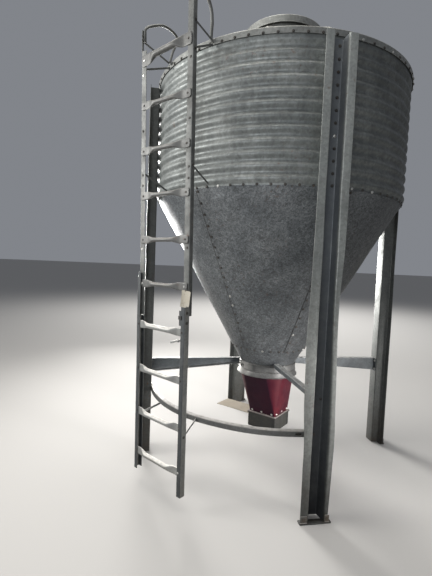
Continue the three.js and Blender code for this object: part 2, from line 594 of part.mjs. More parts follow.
// rungs: round tube with flattened ends, in front of the upper stiles' faces
// and behind the lower ones', the tube itself standing out from its ends
for (let k = 0; k < RUNGS; k++) {
  const low = k < RUNGS_LOWER, top = k === RUNGS - 1, s = low ? LOWER : UPPER;
  const r = low ? RUNG_R_LOWER : top ? RUNG_R_TOP : RUNG_R, h = top ? TOP_END_HALF : RUNG_END.half;
  const xe = low ? -STILE_T - GAP - RUNG_END.t / 2 : GAP + RUNG_END.t / 2;       // middle of the flat ends
  const xt = low ? r - 10 : GAP + r;                                             // middle of the tube
  const end = s.half + (low ? LOWER_CHANNEL.face - STILE_T - 1 : RUNG_END.outer);
  const flatTo = s.half - RUNG_END.inner, tubeTo = flatTo - RUNG_END.taper;
  const rings = [[end, 1], [flatTo, 1], [flatTo - RUNG_END.taper * 0.35, 0.72], [flatTo - RUNG_END.taper * 0.7, 0.2], [tubeTo, 0]];
  const ring = (y, e) => {
    const pts = [], p = 1 - 0.62 * e;
    for (let j = 0; j < 12; j++) {
      const a = rad(30 * j + 15), c = Math.cos(a), n = Math.sin(a);
      pts.push([xt + (xe - xt) * e + Math.sign(c) * Math.abs(c) ** p * (r + (RUNG_END.t / 2 - r) * e),
        y, Math.sign(n) * Math.abs(n) ** p * (r + (h - r) * e)]);
    }
    return pts;
  };
  const rung = ringLoop([...rings.map(([y, e]) => ring(-y, e)), ...rings.reverse().map(([y, e]) => ring(y, e))], true);
  if (top) rung.rotateX(rad(TOP_RUNG_TILT));
  rung.translate(0, 0, RUNG_Z0 + k * RUNG_STEP + RUNG_SHIFT[k]);
  add(`rung_${k + 1}`, rung, 'ladder', low ? lower : upper);
}

const model = new THREE.Group();
model.add(silo);
export default model;
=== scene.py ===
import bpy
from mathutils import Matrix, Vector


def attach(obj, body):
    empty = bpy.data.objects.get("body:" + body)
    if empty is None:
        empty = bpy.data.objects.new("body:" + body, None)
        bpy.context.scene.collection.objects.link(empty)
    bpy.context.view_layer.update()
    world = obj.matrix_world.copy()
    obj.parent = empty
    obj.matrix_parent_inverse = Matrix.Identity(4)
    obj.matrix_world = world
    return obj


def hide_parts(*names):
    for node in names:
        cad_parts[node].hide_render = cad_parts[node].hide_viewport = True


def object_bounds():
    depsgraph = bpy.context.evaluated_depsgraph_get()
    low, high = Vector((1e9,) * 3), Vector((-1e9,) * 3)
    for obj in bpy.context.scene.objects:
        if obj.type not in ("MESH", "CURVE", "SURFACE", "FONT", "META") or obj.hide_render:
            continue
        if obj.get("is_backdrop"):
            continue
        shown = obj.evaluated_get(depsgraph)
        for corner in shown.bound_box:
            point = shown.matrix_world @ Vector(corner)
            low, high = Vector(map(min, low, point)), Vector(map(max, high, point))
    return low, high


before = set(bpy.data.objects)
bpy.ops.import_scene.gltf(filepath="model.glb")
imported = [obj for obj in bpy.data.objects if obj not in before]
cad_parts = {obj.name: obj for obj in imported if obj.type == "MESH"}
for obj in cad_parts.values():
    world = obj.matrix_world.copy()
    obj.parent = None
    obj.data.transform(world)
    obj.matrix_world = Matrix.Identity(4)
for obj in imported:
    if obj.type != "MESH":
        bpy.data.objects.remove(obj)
cad_box = [list(c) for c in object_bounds()]

import math
import random

import bmesh
import bpy
from mathutils import Matrix, Vector, noise

AY = 0.11922                    # silo axis in the frame, metres
rnd = random.Random(4711)
rad = math.radians


# ------------------------------------------------------------------ camera
# Pose of the photograph's camera, in the frame of the model.
def make_camera():
    yaw, pitch, roll, turn = rad(-8.08), rad(3.53), rad(2.29), rad(28.3)
    fw = Vector((math.sin(yaw) * math.cos(pitch), math.cos(yaw) * math.cos(pitch), -math.sin(pitch)))
    right = fw.cross(Vector((0, 0, 1))).normalized()
    up = right.cross(fw)
    r = math.cos(roll) * right + math.sin(roll) * up
    u = -math.sin(roll) * right + math.cos(roll) * up
    spin = Matrix.Rotation(turn, 3, 'Z')
    fw, r, u = spin @ fw, spin @ r, spin @ u
    place = spin @ Vector((0, -3.4558, 0)) + Vector((0, AY, 1.60))
    m = Matrix.Identity(4)
    for i in range(3):
        m[i][0], m[i][1], m[i][2], m[i][3] = r[i], u[i], -fw[i], place[i]
    cam = bpy.data.cameras.new("camera")
    cam.sensor_fit = 'AUTO'
    cam.sensor_width = 36
    cam.lens = 385 / 576 * 36
    cam.clip_start = 0.05
    cam.clip_end = 200
    ob = bpy.data.objects.new("camera", cam)
    bpy.context.scene.collection.objects.link(ob)
    ob.matrix_world = m
    bpy.context.scene.camera = ob


make_camera()


# --------------------------------------------------------------- materials
class Nodes:
    """Small helper that builds a shader graph node by node."""

    def __init__(self, name):
        self.mat = bpy.data.materials.new(name)
        self.mat.use_nodes = True
        self.t = self.mat.node_tree
        self.t.nodes.clear()
        self.out = self.add("ShaderNodeOutputMaterial")
        self.bsdf = self.add("ShaderNodeBsdfPrincipled")
        self.link(self.bsdf.outputs[0], self.out.inputs[0])
        self.coord = self.add("ShaderNodeTexCoord").outputs["Object"]
        self.normal = self.add("ShaderNodeNewGeometry").outputs["Normal"]

    def add(self, kind, **props):
        n = self.t.nodes.new(kind)
        for k, v in props.items():
            setattr(n, k, v)
        return n

    def link(self, a, b):
        self.t.links.new(a, b)

    def put(self, socket, value):
        if isinstance(value, bpy.types.NodeSocket):
            self.link(value, socket)
        else:
            socket.default_value = value

    def space(self, scale=(1, 1, 1), turn=(0, 0, 0)):
        m = self.add("ShaderNodeMapping")
        self.link(self.coord, m.inputs["Vector"])
        m.inputs["Scale"].default_value = scale
        m.inputs["Rotation"].default_value = turn
        return m.outputs[0]

    def noise(self, scale, detail=5, rough=0.55, at=None, distort=0.0):
        n = self.add("ShaderNodeTexNoise")
        self.link(at or self.coord, n.inputs["Vector"])
        n.inputs["Scale"].default_value = scale
        n.inputs["Detail"].default_value = detail
        n.inputs["Roughness"].default_value = rough
        n.inputs["Distortion"].default_value = distort
        return n.outputs["Fac"]

    def cells(self, scale, at=None):
        """Value from 0 to 1, one for each crystal of the zinc."""
        n = self.add("ShaderNodeTexVoronoi")
        self.link(at or self.coord, n.inputs["Vector"])
        n.inputs["Scale"].default_value = scale
        n.inputs["Randomness"].default_value = 1.0
        s = self.add("ShaderNodeSeparateColor")
        self.link(n.outputs["Color"], s.inputs[0])
        return s.outputs[0]

    def range(self, value, a, b, lo=0.0, hi=1.0):
        n = self.add("ShaderNodeMapRange")
        n.clamp = True
        self.put(n.inputs[0], value)
        for i, v in enumerate((a, b, lo, hi), 1):
            n.inputs[i].default_value = v
        return n.outputs[0]

    def math(self, op, a, b=0.0):
        n = self.add("ShaderNodeMath", operation=op)
        self.put(n.inputs[0], a)
        self.put(n.inputs[1], b)
        return n.outputs[0]

    def mix(self, fac, a, b, mode='MIX'):
        n = self.add("ShaderNodeMix", data_type='RGBA', blend_type=mode)
        self.put(n.inputs[0], fac)
        for s, v in ((n.inputs[6], a), (n.inputs[7], b)):
            self.put(s, v if isinstance(v, bpy.types.NodeSocket) else (*v, 1.0))
        return n.outputs[2]

    def ramp(self, fac, stops):
        n = self.add("ShaderNodeValToRGB")
        self.link(fac, n.inputs[0])
        e = n.color_ramp.elements
        while len(e) < len(stops):
            e.new(0.5)
        for el, (p, c) in zip(e, stops):
            el.position = p
            el.color = (*c, 1.0)
        return n.outputs[0]

    def upward(self):
        s = self.add("ShaderNodeSeparateXYZ")
        self.link(self.normal, s.inputs[0])
        return s.outputs[2]

    def inside_leg(self):
        """1 on the faces inside a leg's channel, 0 on its lips and outer sides: the mask for painted shade in the
        channel.
        """
        m = math.radians(46.4)
        pos, nor = self.add("ShaderNodeSeparateXYZ"), self.add("ShaderNodeSeparateXYZ")
        self.link(self.coord, pos.inputs[0])
        self.link(self.normal, nor.inputs[0])
        k = self.math
        px, py = pos.outputs[0], k('SUBTRACT', pos.outputs[1], AY)
        turned = []
        for a, b in ((px, py), (nor.outputs[0], nor.outputs[1])):
            turned.append((k('ADD', k('MULTIPLY', a, math.cos(m)), k('MULTIPLY', b, math.sin(m))),
                           k('SUBTRACT', k('MULTIPLY', b, math.cos(m)), k('MULTIPLY', a, math.sin(m)))))
        (x, y), (u, v) = turned
        ax, ay = k('ABSOLUTE', x), k('ABSOLUTE', y)
        along_x = k('GREATER_THAN', ax, ay)
        r = k('MAXIMUM', ax, ay)
        # place across the leg times the normal across it: below 0 on faces turned to the channel's middle
        across = k('ADD', k('MULTIPLY', k('MULTIPLY', y, v), along_x),
                   k('MULTIPLY', k('MULTIPLY', x, u), k('SUBTRACT', 1.0, along_x)))
        inner = self.range(across, -0.012, -0.028)
        out = k('ADD', k('MULTIPLY', k('MULTIPLY', x, u), along_x), k('MULTIPLY', k('MULTIPLY', y, v), k('SUBTRACT', 1.0, along_x)))
        web = self.range(out, 0.45, 0.75)
        return k('MULTIPLY', k('MAXIMUM', inner, web), self.range(r, 1.108, 1.088))

    def bump(self, height, strength, distance, after=None):
        n = self.add("ShaderNodeBump")
        n.inputs["Strength"].default_value = strength
        n.inputs["Distance"].default_value = distance
        self.link(height, n.inputs["Height"])
        if after is not None:
            self.link(after, n.inputs["Normal"])
        return n.outputs[0]


def galvanised(name, dark, light, metallic=0.6, rough=(0.42, 0.62), spangle=85.0, flakes=0.22,
               mottle=3.0, streak=0.35, dust=0.35, rust=0.12, grime=0.35, worn=None, top_highlight=None,
               recess_shade=None, front=None, low_shade=None, side_shade=None, side_highlight=None):
    """Weathered zinc coat: crystals, mottling, runs, dust on top faces, grime and rust spots; where asked, painted
    highlights on top faces and on one side, and painted shade in leg channels, on faces turned to -y, on the other side
    and towards the ground.
    """
    g = Nodes(name)
    col = g.ramp(g.noise(mottle, 6, 0.6), [(0.32, dark), (0.68, light)])
    # zinc crystals in two sizes
    c1 = g.range(g.cells(spangle), 0, 1, 1 - flakes, 1 + flakes)
    c2 = g.range(g.cells(spangle * 0.45), 0, 1, 1 - flakes * 0.6, 1 + flakes * 0.6)
    cell = g.math('MULTIPLY', c1, c2)
    comb = g.add("ShaderNodeCombineColor")
    for i in range(3):
        g.link(cell, comb.inputs[i])
    col = g.mix(1.0, col, comb.outputs[0], 'MULTIPLY')
    # runs down the sheet
    runs = g.range(g.noise(1.0, 4, 0.6, g.space((17, 17, 0.9))), 0.42, 0.72)
    col = g.mix(g.math('MULTIPLY', runs, streak), col, tuple(c * 0.55 for c in dark))
    pale = g.range(g.noise(1.0, 4, 0.6, g.space((23, 23, 1.6), (0, 0, 0.7))), 0.5, 0.8)
    col = g.mix(g.math('MULTIPLY', pale, streak * 0.6), col, tuple(min(1, c * 1.35) for c in light))
    # grime in patches
    dirt = g.math('MULTIPLY', g.range(g.noise(6.5, 8, 0.68), 0.50, 0.72), g.range(g.noise(1.7, 3), 0.4, 0.6))
    col = g.mix(g.math('MULTIPLY', dirt, grime), col, (0.052, 0.045, 0.034))
    # dust on faces that look up, and low down on the object
    up = g.range(g.upward(), 0.15, 0.95)
    powder = g.math('MULTIPLY', up, g.range(g.noise(26, 6, 0.65), 0.3, 0.65, 0.35, 1.0))
    col = g.mix(g.math('MULTIPLY', powder, dust), col, (0.27, 0.25, 0.205))
    z = g.add("ShaderNodeSeparateXYZ")
    g.link(g.coord, z.inputs[0])
    low = g.math('MULTIPLY', g.range(z.outputs[2], 0.45, 0.0), g.range(g.noise(14, 6, 0.7), 0.35, 0.62))
    col = g.mix(g.math('MULTIPLY', low, 0.6), col, (0.115, 0.085, 0.055))
    # rust spots
    spot = g.math('MULTIPLY', g.range(g.noise(42, 4, 0.6), 0.60, 0.70), g.range(g.noise(2.3, 3, 0.5), 0.50, 0.62))
    col = g.mix(g.math('MULTIPLY', spot, rust * 4), col, (0.13, 0.055, 0.024))
    if worn:
        rub = g.range(g.noise(9.0, 5, 0.6), 0.45, 0.62)
        col = g.mix(g.math('MULTIPLY', rub, 0.5), col, worn)
    if top_highlight:
        # painted highlight: a lighter colour on faces that look up
        top_highlight_mask = g.math('MULTIPLY', up, g.range(g.noise(31, 5, 0.6), 0.30, 0.55, 0.45, 1.0))
        col = g.mix(top_highlight_mask, col, top_highlight)
    if recess_shade:
        # painted shade: the faces inside each leg's channel are darkened where shade falls
        hide = g.math('MULTIPLY', g.inside_leg(), g.range(g.noise(7, 6, 0.65), 0.25, 0.6, 0.62, 0.92))
        col = g.mix(hide, col, recess_shade)
    if front:
        # painted shade: faces turned towards -y are darkened
        n = g.add("ShaderNodeSeparateXYZ")
        g.link(g.normal, n.inputs[0])
        shade = g.math('MULTIPLY', g.range(n.outputs[1], -0.55, -0.8), g.range(g.noise(9, 6, 0.65), 0.25, 0.6, 0.6, 0.95))
        col = g.mix(shade, col, front)
    if side_shade or side_highlight:
        # painted shade and painted highlight by side: darker on faces turned towards +x and +y, lighter on faces turned
        # towards -x and -y
        n = g.add("ShaderNodeSeparateXYZ")
        g.link(g.normal, n.inputs[0])
        side = g.math('ADD', g.math('MULTIPLY', n.outputs[0], 0.88), g.math('MULTIPLY', n.outputs[1], 0.47))
    if side_shade:
        # painted shade on faces turned towards +x and +y
        side_shade_factor = g.range(side, 0.15, 0.8, 1.0, side_shade)
        dust_film_and_side_shade = g.add("ShaderNodeCombineColor")
        for i in range(3):
            g.link(side_shade_factor, dust_film_and_side_shade.inputs[i])
        col = g.mix(1.0, col, dust_film_and_side_shade.outputs[0], 'MULTIPLY')
    if side_highlight:
        # painted highlight on faces turned towards -x and -y
        col = g.mix(g.math('MULTIPLY', g.range(side, -0.45, -0.92), g.range(g.noise(17, 6, 0.65), 0.3, 0.6, 0.6, 1.0)), col, side_highlight)
    if low_shade:
        # painted shade by height: darker towards the ground
        depth = g.range(z.outputs[2], low_shade[0], low_shade[1], low_shade[2], 1.0)
        low_shade_tone = g.add("ShaderNodeCombineColor")
        for i in range(3):
            g.link(depth, low_shade_tone.inputs[i])
        col = g.mix(1.0, col, low_shade_tone.outputs[0], 'MULTIPLY')
    g.link(col, g.bsdf.inputs["Base Color"])
    g.bsdf.inputs["Metallic"].default_value = metallic
    r = g.math('ADD', g.range(g.noise(11, 5, 0.6), 0.3, 0.7, *rough), g.range(cell, 0.6, 1.5, 0.06, -0.06))
    r = g.math('ADD', r, g.math('MULTIPLY', g.math('ADD', dirt, powder), 0.18))
    g.link(r, g.bsdf.inputs["Roughness"])
    b = g.bump(g.noise(5.0, 2, 0.4), 0.35, 0.006)
    b = g.bump(cell, 0.10, 0.0006, b)
    b = g.bump(g.noise(240, 4, 0.6), 0.18, 0.0006, b)
    g.link(b, g.bsdf.inputs["Normal"])
    return g.mat


def painted(name, dark, light, dusty, metallic=0.0, rough=(0.4, 0.6), scratch=0.4, dust=0.5, wear=0.0, front=None):
    """Plastic or paint with scratches, dust and scuffs; where asked, painted shade on faces turned to -y."""
    g = Nodes(name)
    col = g.ramp(g.noise(7, 6, 0.6), [(0.3, dark), (0.7, light)])
    lines = g.range(g.noise(1.0, 3, 0.7, g.space((160, 160, 7), (0.15, 0.1, 0)), 0.3), 0.62, 0.70)
    col = g.mix(g.math('MULTIPLY', lines, scratch), col, tuple(min(1, c * 2.2 + 0.02) for c in light))
    if front:
        # painted shade: faces turned towards -y are darkened
        n = g.add("ShaderNodeSeparateXYZ")
        g.link(g.normal, n.inputs[0])
        shade = g.math('MULTIPLY', g.range(n.outputs[1], -0.80, -0.93), g.range(g.noise(9, 6, 0.65), 0.25, 0.6, 0.7, 0.95))
        col = g.mix(shade, col, front)
    up = g.range(g.upward(), 0.1, 0.9)
    dust_film_and_side_shade = g.math('MULTIPLY', g.range(g.noise(19, 7, 0.7), 0.42, 0.7), 0.45)
    powder = g.math('MAXIMUM', g.math('MULTIPLY', up, g.range(g.noise(33, 5, 0.7), 0.3, 0.6, 0.4, 1.0)), dust_film_and_side_shade)
    col = g.mix(g.math('MULTIPLY', powder, dust), col, dusty)
    if wear:
        spot = g.range(g.noise(55, 5, 0.65), 0.6, 0.68)
        col = g.mix(g.math('MULTIPLY', spot, wear), col, (0.10, 0.055, 0.03))
    g.link(col, g.bsdf.inputs["Base Color"])
    g.bsdf.inputs["Metallic"].default_value = metallic
    r = g.math('ADD', g.range(g.noise(13, 5, 0.6), 0.3, 0.7, *rough), g.math('MULTIPLY', powder, 0.3))
    g.link(r, g.bsdf.inputs["Roughness"])
    b = g.bump(g.noise(9, 3, 0.5), 0.25, 0.003)
    b = g.bump(g.noise(320, 4, 0.6), 0.2, 0.0004, b)
    g.link(b, g.bsdf.inputs["Normal"])
    return g.mat


# painted shade: darker on faces turned towards +x and +y
WALL = galvanised("zinc_wall", (0.145, 0.158, 0.157), (0.240, 0.255, 0.248), side_shade=0.58, streak=0.36, dust=0.18, spangle=70, flakes=0.16)
ROOF = galvanised("zinc_roof", (0.170, 0.177, 0.170), (0.262, 0.268, 0.256), streak=0.25, dust=0.45, spangle=70, flakes=0.14)
# painted shade: darker on faces turned towards +x and +y, and towards its bottom
HOPPER = galvanised("zinc_hopper", (0.112, 0.123, 0.132), (0.186, 0.199, 0.208), side_shade=0.55, streak=0.22, dust=0.2, metallic=0.5,
                    spangle=140, flakes=0.36, grime=0.25, mottle=5.5, rough=(0.42, 0.6), low_shade=(0.8, 2.1, 0.58))
# painted highlight: lighter on faces turned towards -x and -y
COLLAR = galvanised("zinc_collar", (0.052, 0.054, 0.055), (0.105, 0.105, 0.102), side_highlight=(0.58, 0.57, 0.54), streak=0.15, dust=0.15, metallic=0.55,
                    spangle=120, flakes=0.14, grime=0.4, mottle=7, rough=(0.4, 0.6))
# painted shade: darker inside the legs' channels and towards the ground
LEG = galvanised("zinc_leg", (0.118, 0.126, 0.121), (0.192, 0.202, 0.193), streak=0.30, dust=0.25, spangle=80, flakes=0.12,
                 metallic=0.45, recess_shade=(0.085, 0.092, 0.100), low_shade=(0.1, 2.6, 0.42))
# lighter copy of the leg zinc: painted light on the front right leg, with painted shade in its channel and towards the
# ground
LEG_LIT = galvanised("zinc_leg_lit", (0.235, 0.248, 0.237), (0.375, 0.392, 0.372), streak=0.30, dust=0.25, spangle=80,
                       flakes=0.12, metallic=0.45, recess_shade=(0.118, 0.130, 0.144), low_shade=(0.1, 1.9, 0.22))
# darker copy of the leg zinc: painted shade on the front left leg, darker still towards the ground
LEG_SHADED = galvanised("zinc_leg_shaded", (0.064, 0.068, 0.065), (0.110, 0.115, 0.109), streak=0.30, dust=0.2, spangle=80,
                      flakes=0.12, metallic=0.45, low_shade=(0.1, 2.2, 0.5))
# painted highlight: lighter on faces that look up
BRACE = galvanised("zinc_brace", (0.048, 0.055, 0.060), (0.088, 0.098, 0.103), streak=0.20, dust=0.2, spangle=90, flakes=0.12,
                   metallic=0.45, top_highlight=(0.46, 0.46, 0.445))
# painted highlight: lighter on faces that look up
BRIGHT = galvanised("zinc_bright", (0.068, 0.070, 0.070), (0.116, 0.118, 0.115), streak=0.15, dust=0.1, rough=(0.38, 0.55),
                    spangle=120, flakes=0.12, grime=0.3, metallic=0.5, top_highlight=(0.36, 0.345, 0.325))
LADDER = galvanised("zinc_ladder", (0.080, 0.084, 0.081), (0.136, 0.140, 0.135), streak=0.2, dust=0.2, spangle=110,
                    flakes=0.12, grime=0.4, metallic=0.4, rough=(0.5, 0.7), worn=(0.168, 0.170, 0.163))
# painted shade: darker on faces turned towards -y and towards the ground
LADDER_LOW = galvanised("zinc_ladder_low", (0.135, 0.140, 0.134), (0.222, 0.226, 0.216), streak=0.22, dust=0.3, spangle=110,
                        flakes=0.12, grime=0.45, metallic=0.4, rough=(0.48, 0.66), worn=(0.27, 0.27, 0.25), front=(0.036, 0.042, 0.047), low_shade=(0.2, 1.2, 0.72))
# painted highlight: lighter on faces that look up
RUNG = galvanised("zinc_rung", (0.072, 0.074, 0.072), (0.125, 0.125, 0.121), streak=0.05, dust=0.25, spangle=140, flakes=0.08,
                  grime=0.35, rough=(0.45, 0.6), metallic=0.4, top_highlight=(0.25, 0.24, 0.225))
# painted highlight: lighter on faces that look up
RUNG_LOW = galvanised("zinc_rung_low", (0.165, 0.170, 0.165), (0.270, 0.272, 0.262), streak=0.05, dust=0.15, spangle=140, flakes=0.08,
                      grime=0.35, rough=(0.4, 0.55), metallic=0.4, top_highlight=(0.66, 0.64, 0.60))
BOLT_BRIGHT = galvanised("bolt_bright", (0.40, 0.40, 0.38), (0.62, 0.62, 0.60), streak=0.0, dust=0.3, spangle=300, flakes=0.05,
                         mottle=12, grime=0.3, rough=(0.25, 0.4), metallic=0.85)
BOLT_DARK = galvanised("bolt_dark", (0.030, 0.029, 0.028), (0.080, 0.074, 0.066), streak=0.0, dust=0.2, spangle=300,
                       flakes=0.05, mottle=12, grime=0.4, rust=0.25, rough=(0.5, 0.7), metallic=0.4)
DARK = painted("dark_steel", (0.012, 0.013, 0.012), (0.030, 0.030, 0.027), (0.12, 0.103, 0.076), metallic=0.3,
               rough=(0.5, 0.7), scratch=0.25, dust=0.2, wear=0.25)
# painted shade: darker on faces turned towards -y
BOOT = painted("maroon_plastic", (0.022, 0.0018, 0.0070), (0.060, 0.0042, 0.0090), (0.075, 0.024, 0.025), rough=(0.42, 0.58),
               scratch=0.12, dust=0.05, front=(0.012, 0.0016, 0.0075))
BOOT.node_tree.nodes["Principled BSDF"].inputs["Specular IOR Level"].default_value = 0.16
FRAME = painted("boot_frame", (0.135, 0.118, 0.118), (0.225, 0.200, 0.195), (0.34, 0.29, 0.23), metallic=0.3,
                rough=(0.45, 0.62), scratch=0.25, dust=0.35, wear=0.4)
PLATE = painted("dusty_plate", (0.20, 0.172, 0.130), (0.285, 0.250, 0.195), (0.33, 0.29, 0.225), metallic=0.15,
                rough=(0.6, 0.8), scratch=0.12, dust=0.7)
TAG = painted("blank_tag", (0.28, 0.258, 0.208), (0.375, 0.35, 0.29), (0.34, 0.29, 0.21), rough=(0.5, 0.7),
              scratch=0.25, dust=0.5, wear=0.6)
GASKET = painted("sealing_strip", (0.012, 0.012, 0.012), (0.028, 0.027, 0.026), (0.14, 0.12, 0.09), rough=(0.6, 0.8),
                 scratch=0.1, dust=0.25)


# ---------------------------------------------------------------- geometry
def W(x, y, z):
    """Millimetres from the silo's axis to the frame's metres."""
    return (x * 0.001, y * 0.001 + AY, z * 0.001)


def polar(a, r, z):
    return W(r * math.cos(a), r * math.sin(a), z)


def swell(p, size, amount, seed=0.0):
    """Smooth random offset, the same for all pieces that pass through p."""
    return noise.noise(Vector((p[0] / size + seed, p[1] / size, p[2] / size))) * amount


class Build:
    """Collects closed bodies of one piece."""

    def __init__(self):
        self.v, self.f = [], []

    def add(self, verts, faces):
        n = len(self.v)
        self.v += [tuple(p) for p in verts]
        self.f += [tuple(i + n for i in q) for q in faces]

    def piece(self, name, material, slot, body="root", replaces=(), sharp=38, bevel=0.0):
        me = bpy.data.meshes.new(name)
        me.from_pydata(self.v, [], self.f)
        bm = bmesh.new()
        bm.from_mesh(me)
        bmesh.ops.recalc_face_normals(bm, faces=bm.faces)
        bm.to_mesh(me)
        bm.free()
        me.polygons.foreach_set("use_smooth", [True] * len(me.polygons))
        me.set_sharp_from_angle(angle=rad(sharp))
        me.materials.append(material)
        me.validate()
        ob = bpy.data.objects.new(name, me)
        bpy.context.scene.collection.objects.link(ob)
        if bevel:
            m = ob.modifiers.new("edges", 'BEVEL')
            m.width = bevel * 0.001
            m.segments = 2
            m.limit_method = 'ANGLE'
            m.angle_limit = rad(40)
            m.harden_normals = False
        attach(ob, body)
        if replaces:
            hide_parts(*replaces)
        return ob


def fillet(path, r, n=4):
    """Rounds the corners of an open path."""
    pts = [Vector(p) for p in path]
    radii = r if isinstance(r, (list, tuple)) else [r] * (len(pts) - 2)
    out = [pts[0]]
    for i in range(1, len(pts) - 1):
        p, q, s = pts[i - 1], pts[i], pts[i + 1]
        a, b = (p - q).normalized(), (s - q).normalized()
        ang = a.angle(b)
        rr = radii[i - 1]
        if ang > rad(176) or rr <= 0:
            out.append(q)
            continue
        d = min(rr / math.tan(ang / 2), 0.48 * (p - q).length, 0.48 * (s - q).length)
        rr = d * math.tan(ang / 2)
        c = q + (a + b).normalized() * (rr / math.sin(ang / 2))
        u, w = q + a * d - c, q + b * d - c
        th = u.angle(w)
        for k in range(n + 1):
            t = k / n
            out.append(c + (math.sin((1 - t) * th) * u + math.sin(t * th) * w) / math.sin(th))
    out.append(pts[-1])
    return out


def thicken(path, t):
    """The two sides of a path of thickness t."""
    left, right = [], []
    n = len(path)
    for i, p in enumerate(path):
        d1 = (p - path[i - 1]).normalized() if i else None
        d2 = (path[i + 1] - p).normalized() if i < n - 1 else None
        d1 = d1 or d2
        d2 = d2 or d1
        n1, n2 = Vector((-d1.y, d1.x)), Vector((-d2.y, d2.x))
        m = (n1 + n2).normalized()
        k = t / 2 / max(0.3, m.dot(n1))
        left.append(p + m * k)
        right.append(p - m * k)
    return left, right


def sweep(left, right, place, count, loop=False):
    """Closed body from a strip outline carried through count stations by place(i, a, b)."""
    ring = list(left) + list(reversed(right))
    n, m = len(ring), len(left)
    verts = [place(i, p[0], p[1]) for i in range(count) for p in ring]
    faces = []
    for i in range(count if loop else count - 1):
        k = (i + 1) % count
        for j in range(n):
            l = (j + 1) % n
            faces.append((i * n + j, i * n + l, k * n + l, k * n + j))
    if not loop:
        for i in (0, count - 1):
            for j in range(m - 1):
                faces.append((i * n + j, i * n + j + 1, i * n + n - 2 - j, i * n + n - 1 - j))
    return verts, faces


def loft(rings, close_ends=True):
    """Closed body from rings with the same number of points."""
    n = len(rings[0])
    verts = [p for ring in rings for p in ring]
    faces = []
    for i in range(len(rings) - 1):
        for j in range(n):
            l = (j + 1) % n
            faces.append((i * n + j, i * n + l, (i + 1) * n + l, (i + 1) * n + j))
    if close_ends:
        faces.append(tuple(range(n)))
        faces.append(tuple(range((len(rings) - 1) * n, len(rings) * n)))
    return verts, faces


def block(x0, x1, y0, y1, z0, z1, place=W):
    """Box body; its edges are bevelled only in pieces given a bevel."""
    v = [place(x, y, z) for z in (z0, z1) for y in (y0, y1) for x in (x0, x1)]
    return v, [(0, 1, 3, 2), (4, 6, 7, 5), (0, 4, 5, 1), (2, 3, 7, 6), (0, 2, 6, 4), (1, 5, 7, 3)]


def basis(normal, twist=0.0):
    n = Vector(normal).normalized()
    a = n.orthogonal().normalized()
    b = n.cross(a)
    c, s = math.cos(twist), math.sin(twist)
    return n, a * c + b * s, b * c - a * s


def stud(build, at, normal, r=6.4, h=5.6, washer=9.6, nut=False):
    """Hexagon bolt head on a washer, its seat at `at` (metres), sizes in millimetres."""
    n, a, b = basis(normal, rnd.uniform(0, 6.28))
    p0 = Vector(at)
    seg = 12
    levels = [(washer, -0.8, 0), (washer, 1.3, 0), (washer - 0.8, 1.8, 0), (r, 1.8, 1), (r, h - 0.9, 1), (r - 1.1, h, 1)]
    if nut:
        levels += [(3.6, h, 0), (3.6, h + 5.0, 0), (2.8, h + 5.8, 0)]
    rings = []
    for rr, z, hexed in levels:
        ring = []
        for k in range(seg):
            t = k * 2 * math.pi / seg
            q = rr / math.cos(math.pi / 6) if hexed and k % 2 == 0 else rr
            ring.append(p0 + (n * z + a * (q * math.cos(t)) + b * (q * math.sin(t))) * 0.001)
        rings.append(ring)
    build.add(*loft(rings))


class Bolts:
    """Bolt heads of one group, part of them bright and part dark."""

    def __init__(self, share_bright):
        self.bright, self.dark, self.share = Build(), Build(), share_bright

    def put(self, at, normal, bright=None, **size):
        if bright is None:
            bright = rnd.random() < self.share
        stud(self.bright if bright else self.dark, at, normal, **size)

    def done(self, name):
        if self.bright.v:
            self.bright.piece(name + "_bright", BOLT_BRIGHT, "bright_steel", sharp=30)
        if self.dark.v:
            self.dark.piece(name + "_dark", BOLT_DARK, "dark_steel", sharp=30)


# Measures shared with the frame, millimetres from the silo's axis.
Z_JOIN, Z_EAVE, PITCH, CREST0 = 2107, 3040, 75.7, 2148
BAYS = {"right": 0, "back": 90, "left": 180, "front": 270}
LEG_TURN = 1.4
LEGS = {"front_left": -132.1, "front_right": -43.6, "back_right": 44.2, "back_left": 136.4}
SLOPE = math.tan(rad(30))


# -------------------------------------------------------------------- wall
def wave(z):
    """Radius of the middle of the corrugated sheet."""
    return 1014.6 + 8.4 * math.cos(2 * math.pi * (min(z, CREST0 + 11 * PITCH) - CREST0) / PITCH)


def wall():
    rows, cols = 150, 60
    for name, mid in BAYS.items():
        a0, a1 = rad(mid + LEG_TURN - 45 + 0.03), rad(mid + LEG_TURN + 45 - 0.03)
        zs = [Z_JOIN + 0.5 + (Z_EAVE - 1 - Z_JOIN - 0.5) * i / rows for i in range(rows + 1)]
        mids = [Vector((wave(z), z)) for z in zs]
        left, right = thicken(mids, 1.8)

        def place(i, r, z, a0=a0, a1=a1):
            a = a0 + (a1 - a0) * i / cols
            p = (math.cos(a) * r, math.sin(a) * r, z)
            edge = min(1.0, (z - Z_JOIN) / 60, (Z_EAVE - z) / 60)
            return polar(a, r + swell(p, 310, 1.6, 3.1) * max(0.0, edge), z)
        b = Build()
        b.add(*sweep(left, right, place, cols + 1))
        b.piece(f"wall_{name}", WALL, "wall_sheet", replaces=[f"wall_sheet_{name}"], sharp=60)


wall()

bolts = Bolts(0.25)
for k in range(72):
    a = rad(1.65 + 5 * k)
    n = (math.cos(a), math.sin(a), 0)
    bolts.put(polar(a, 1007.6, 2111 + rnd.uniform(-1.5, 1.5)), n, r=6.6, h=6.2)
bolts.done("bolts_wall_foot")


# -------------------------------------------------------------------- roof
def roof_z(r):
    return Z_EAVE + 0.5 + (1032 - r) * SLOPE


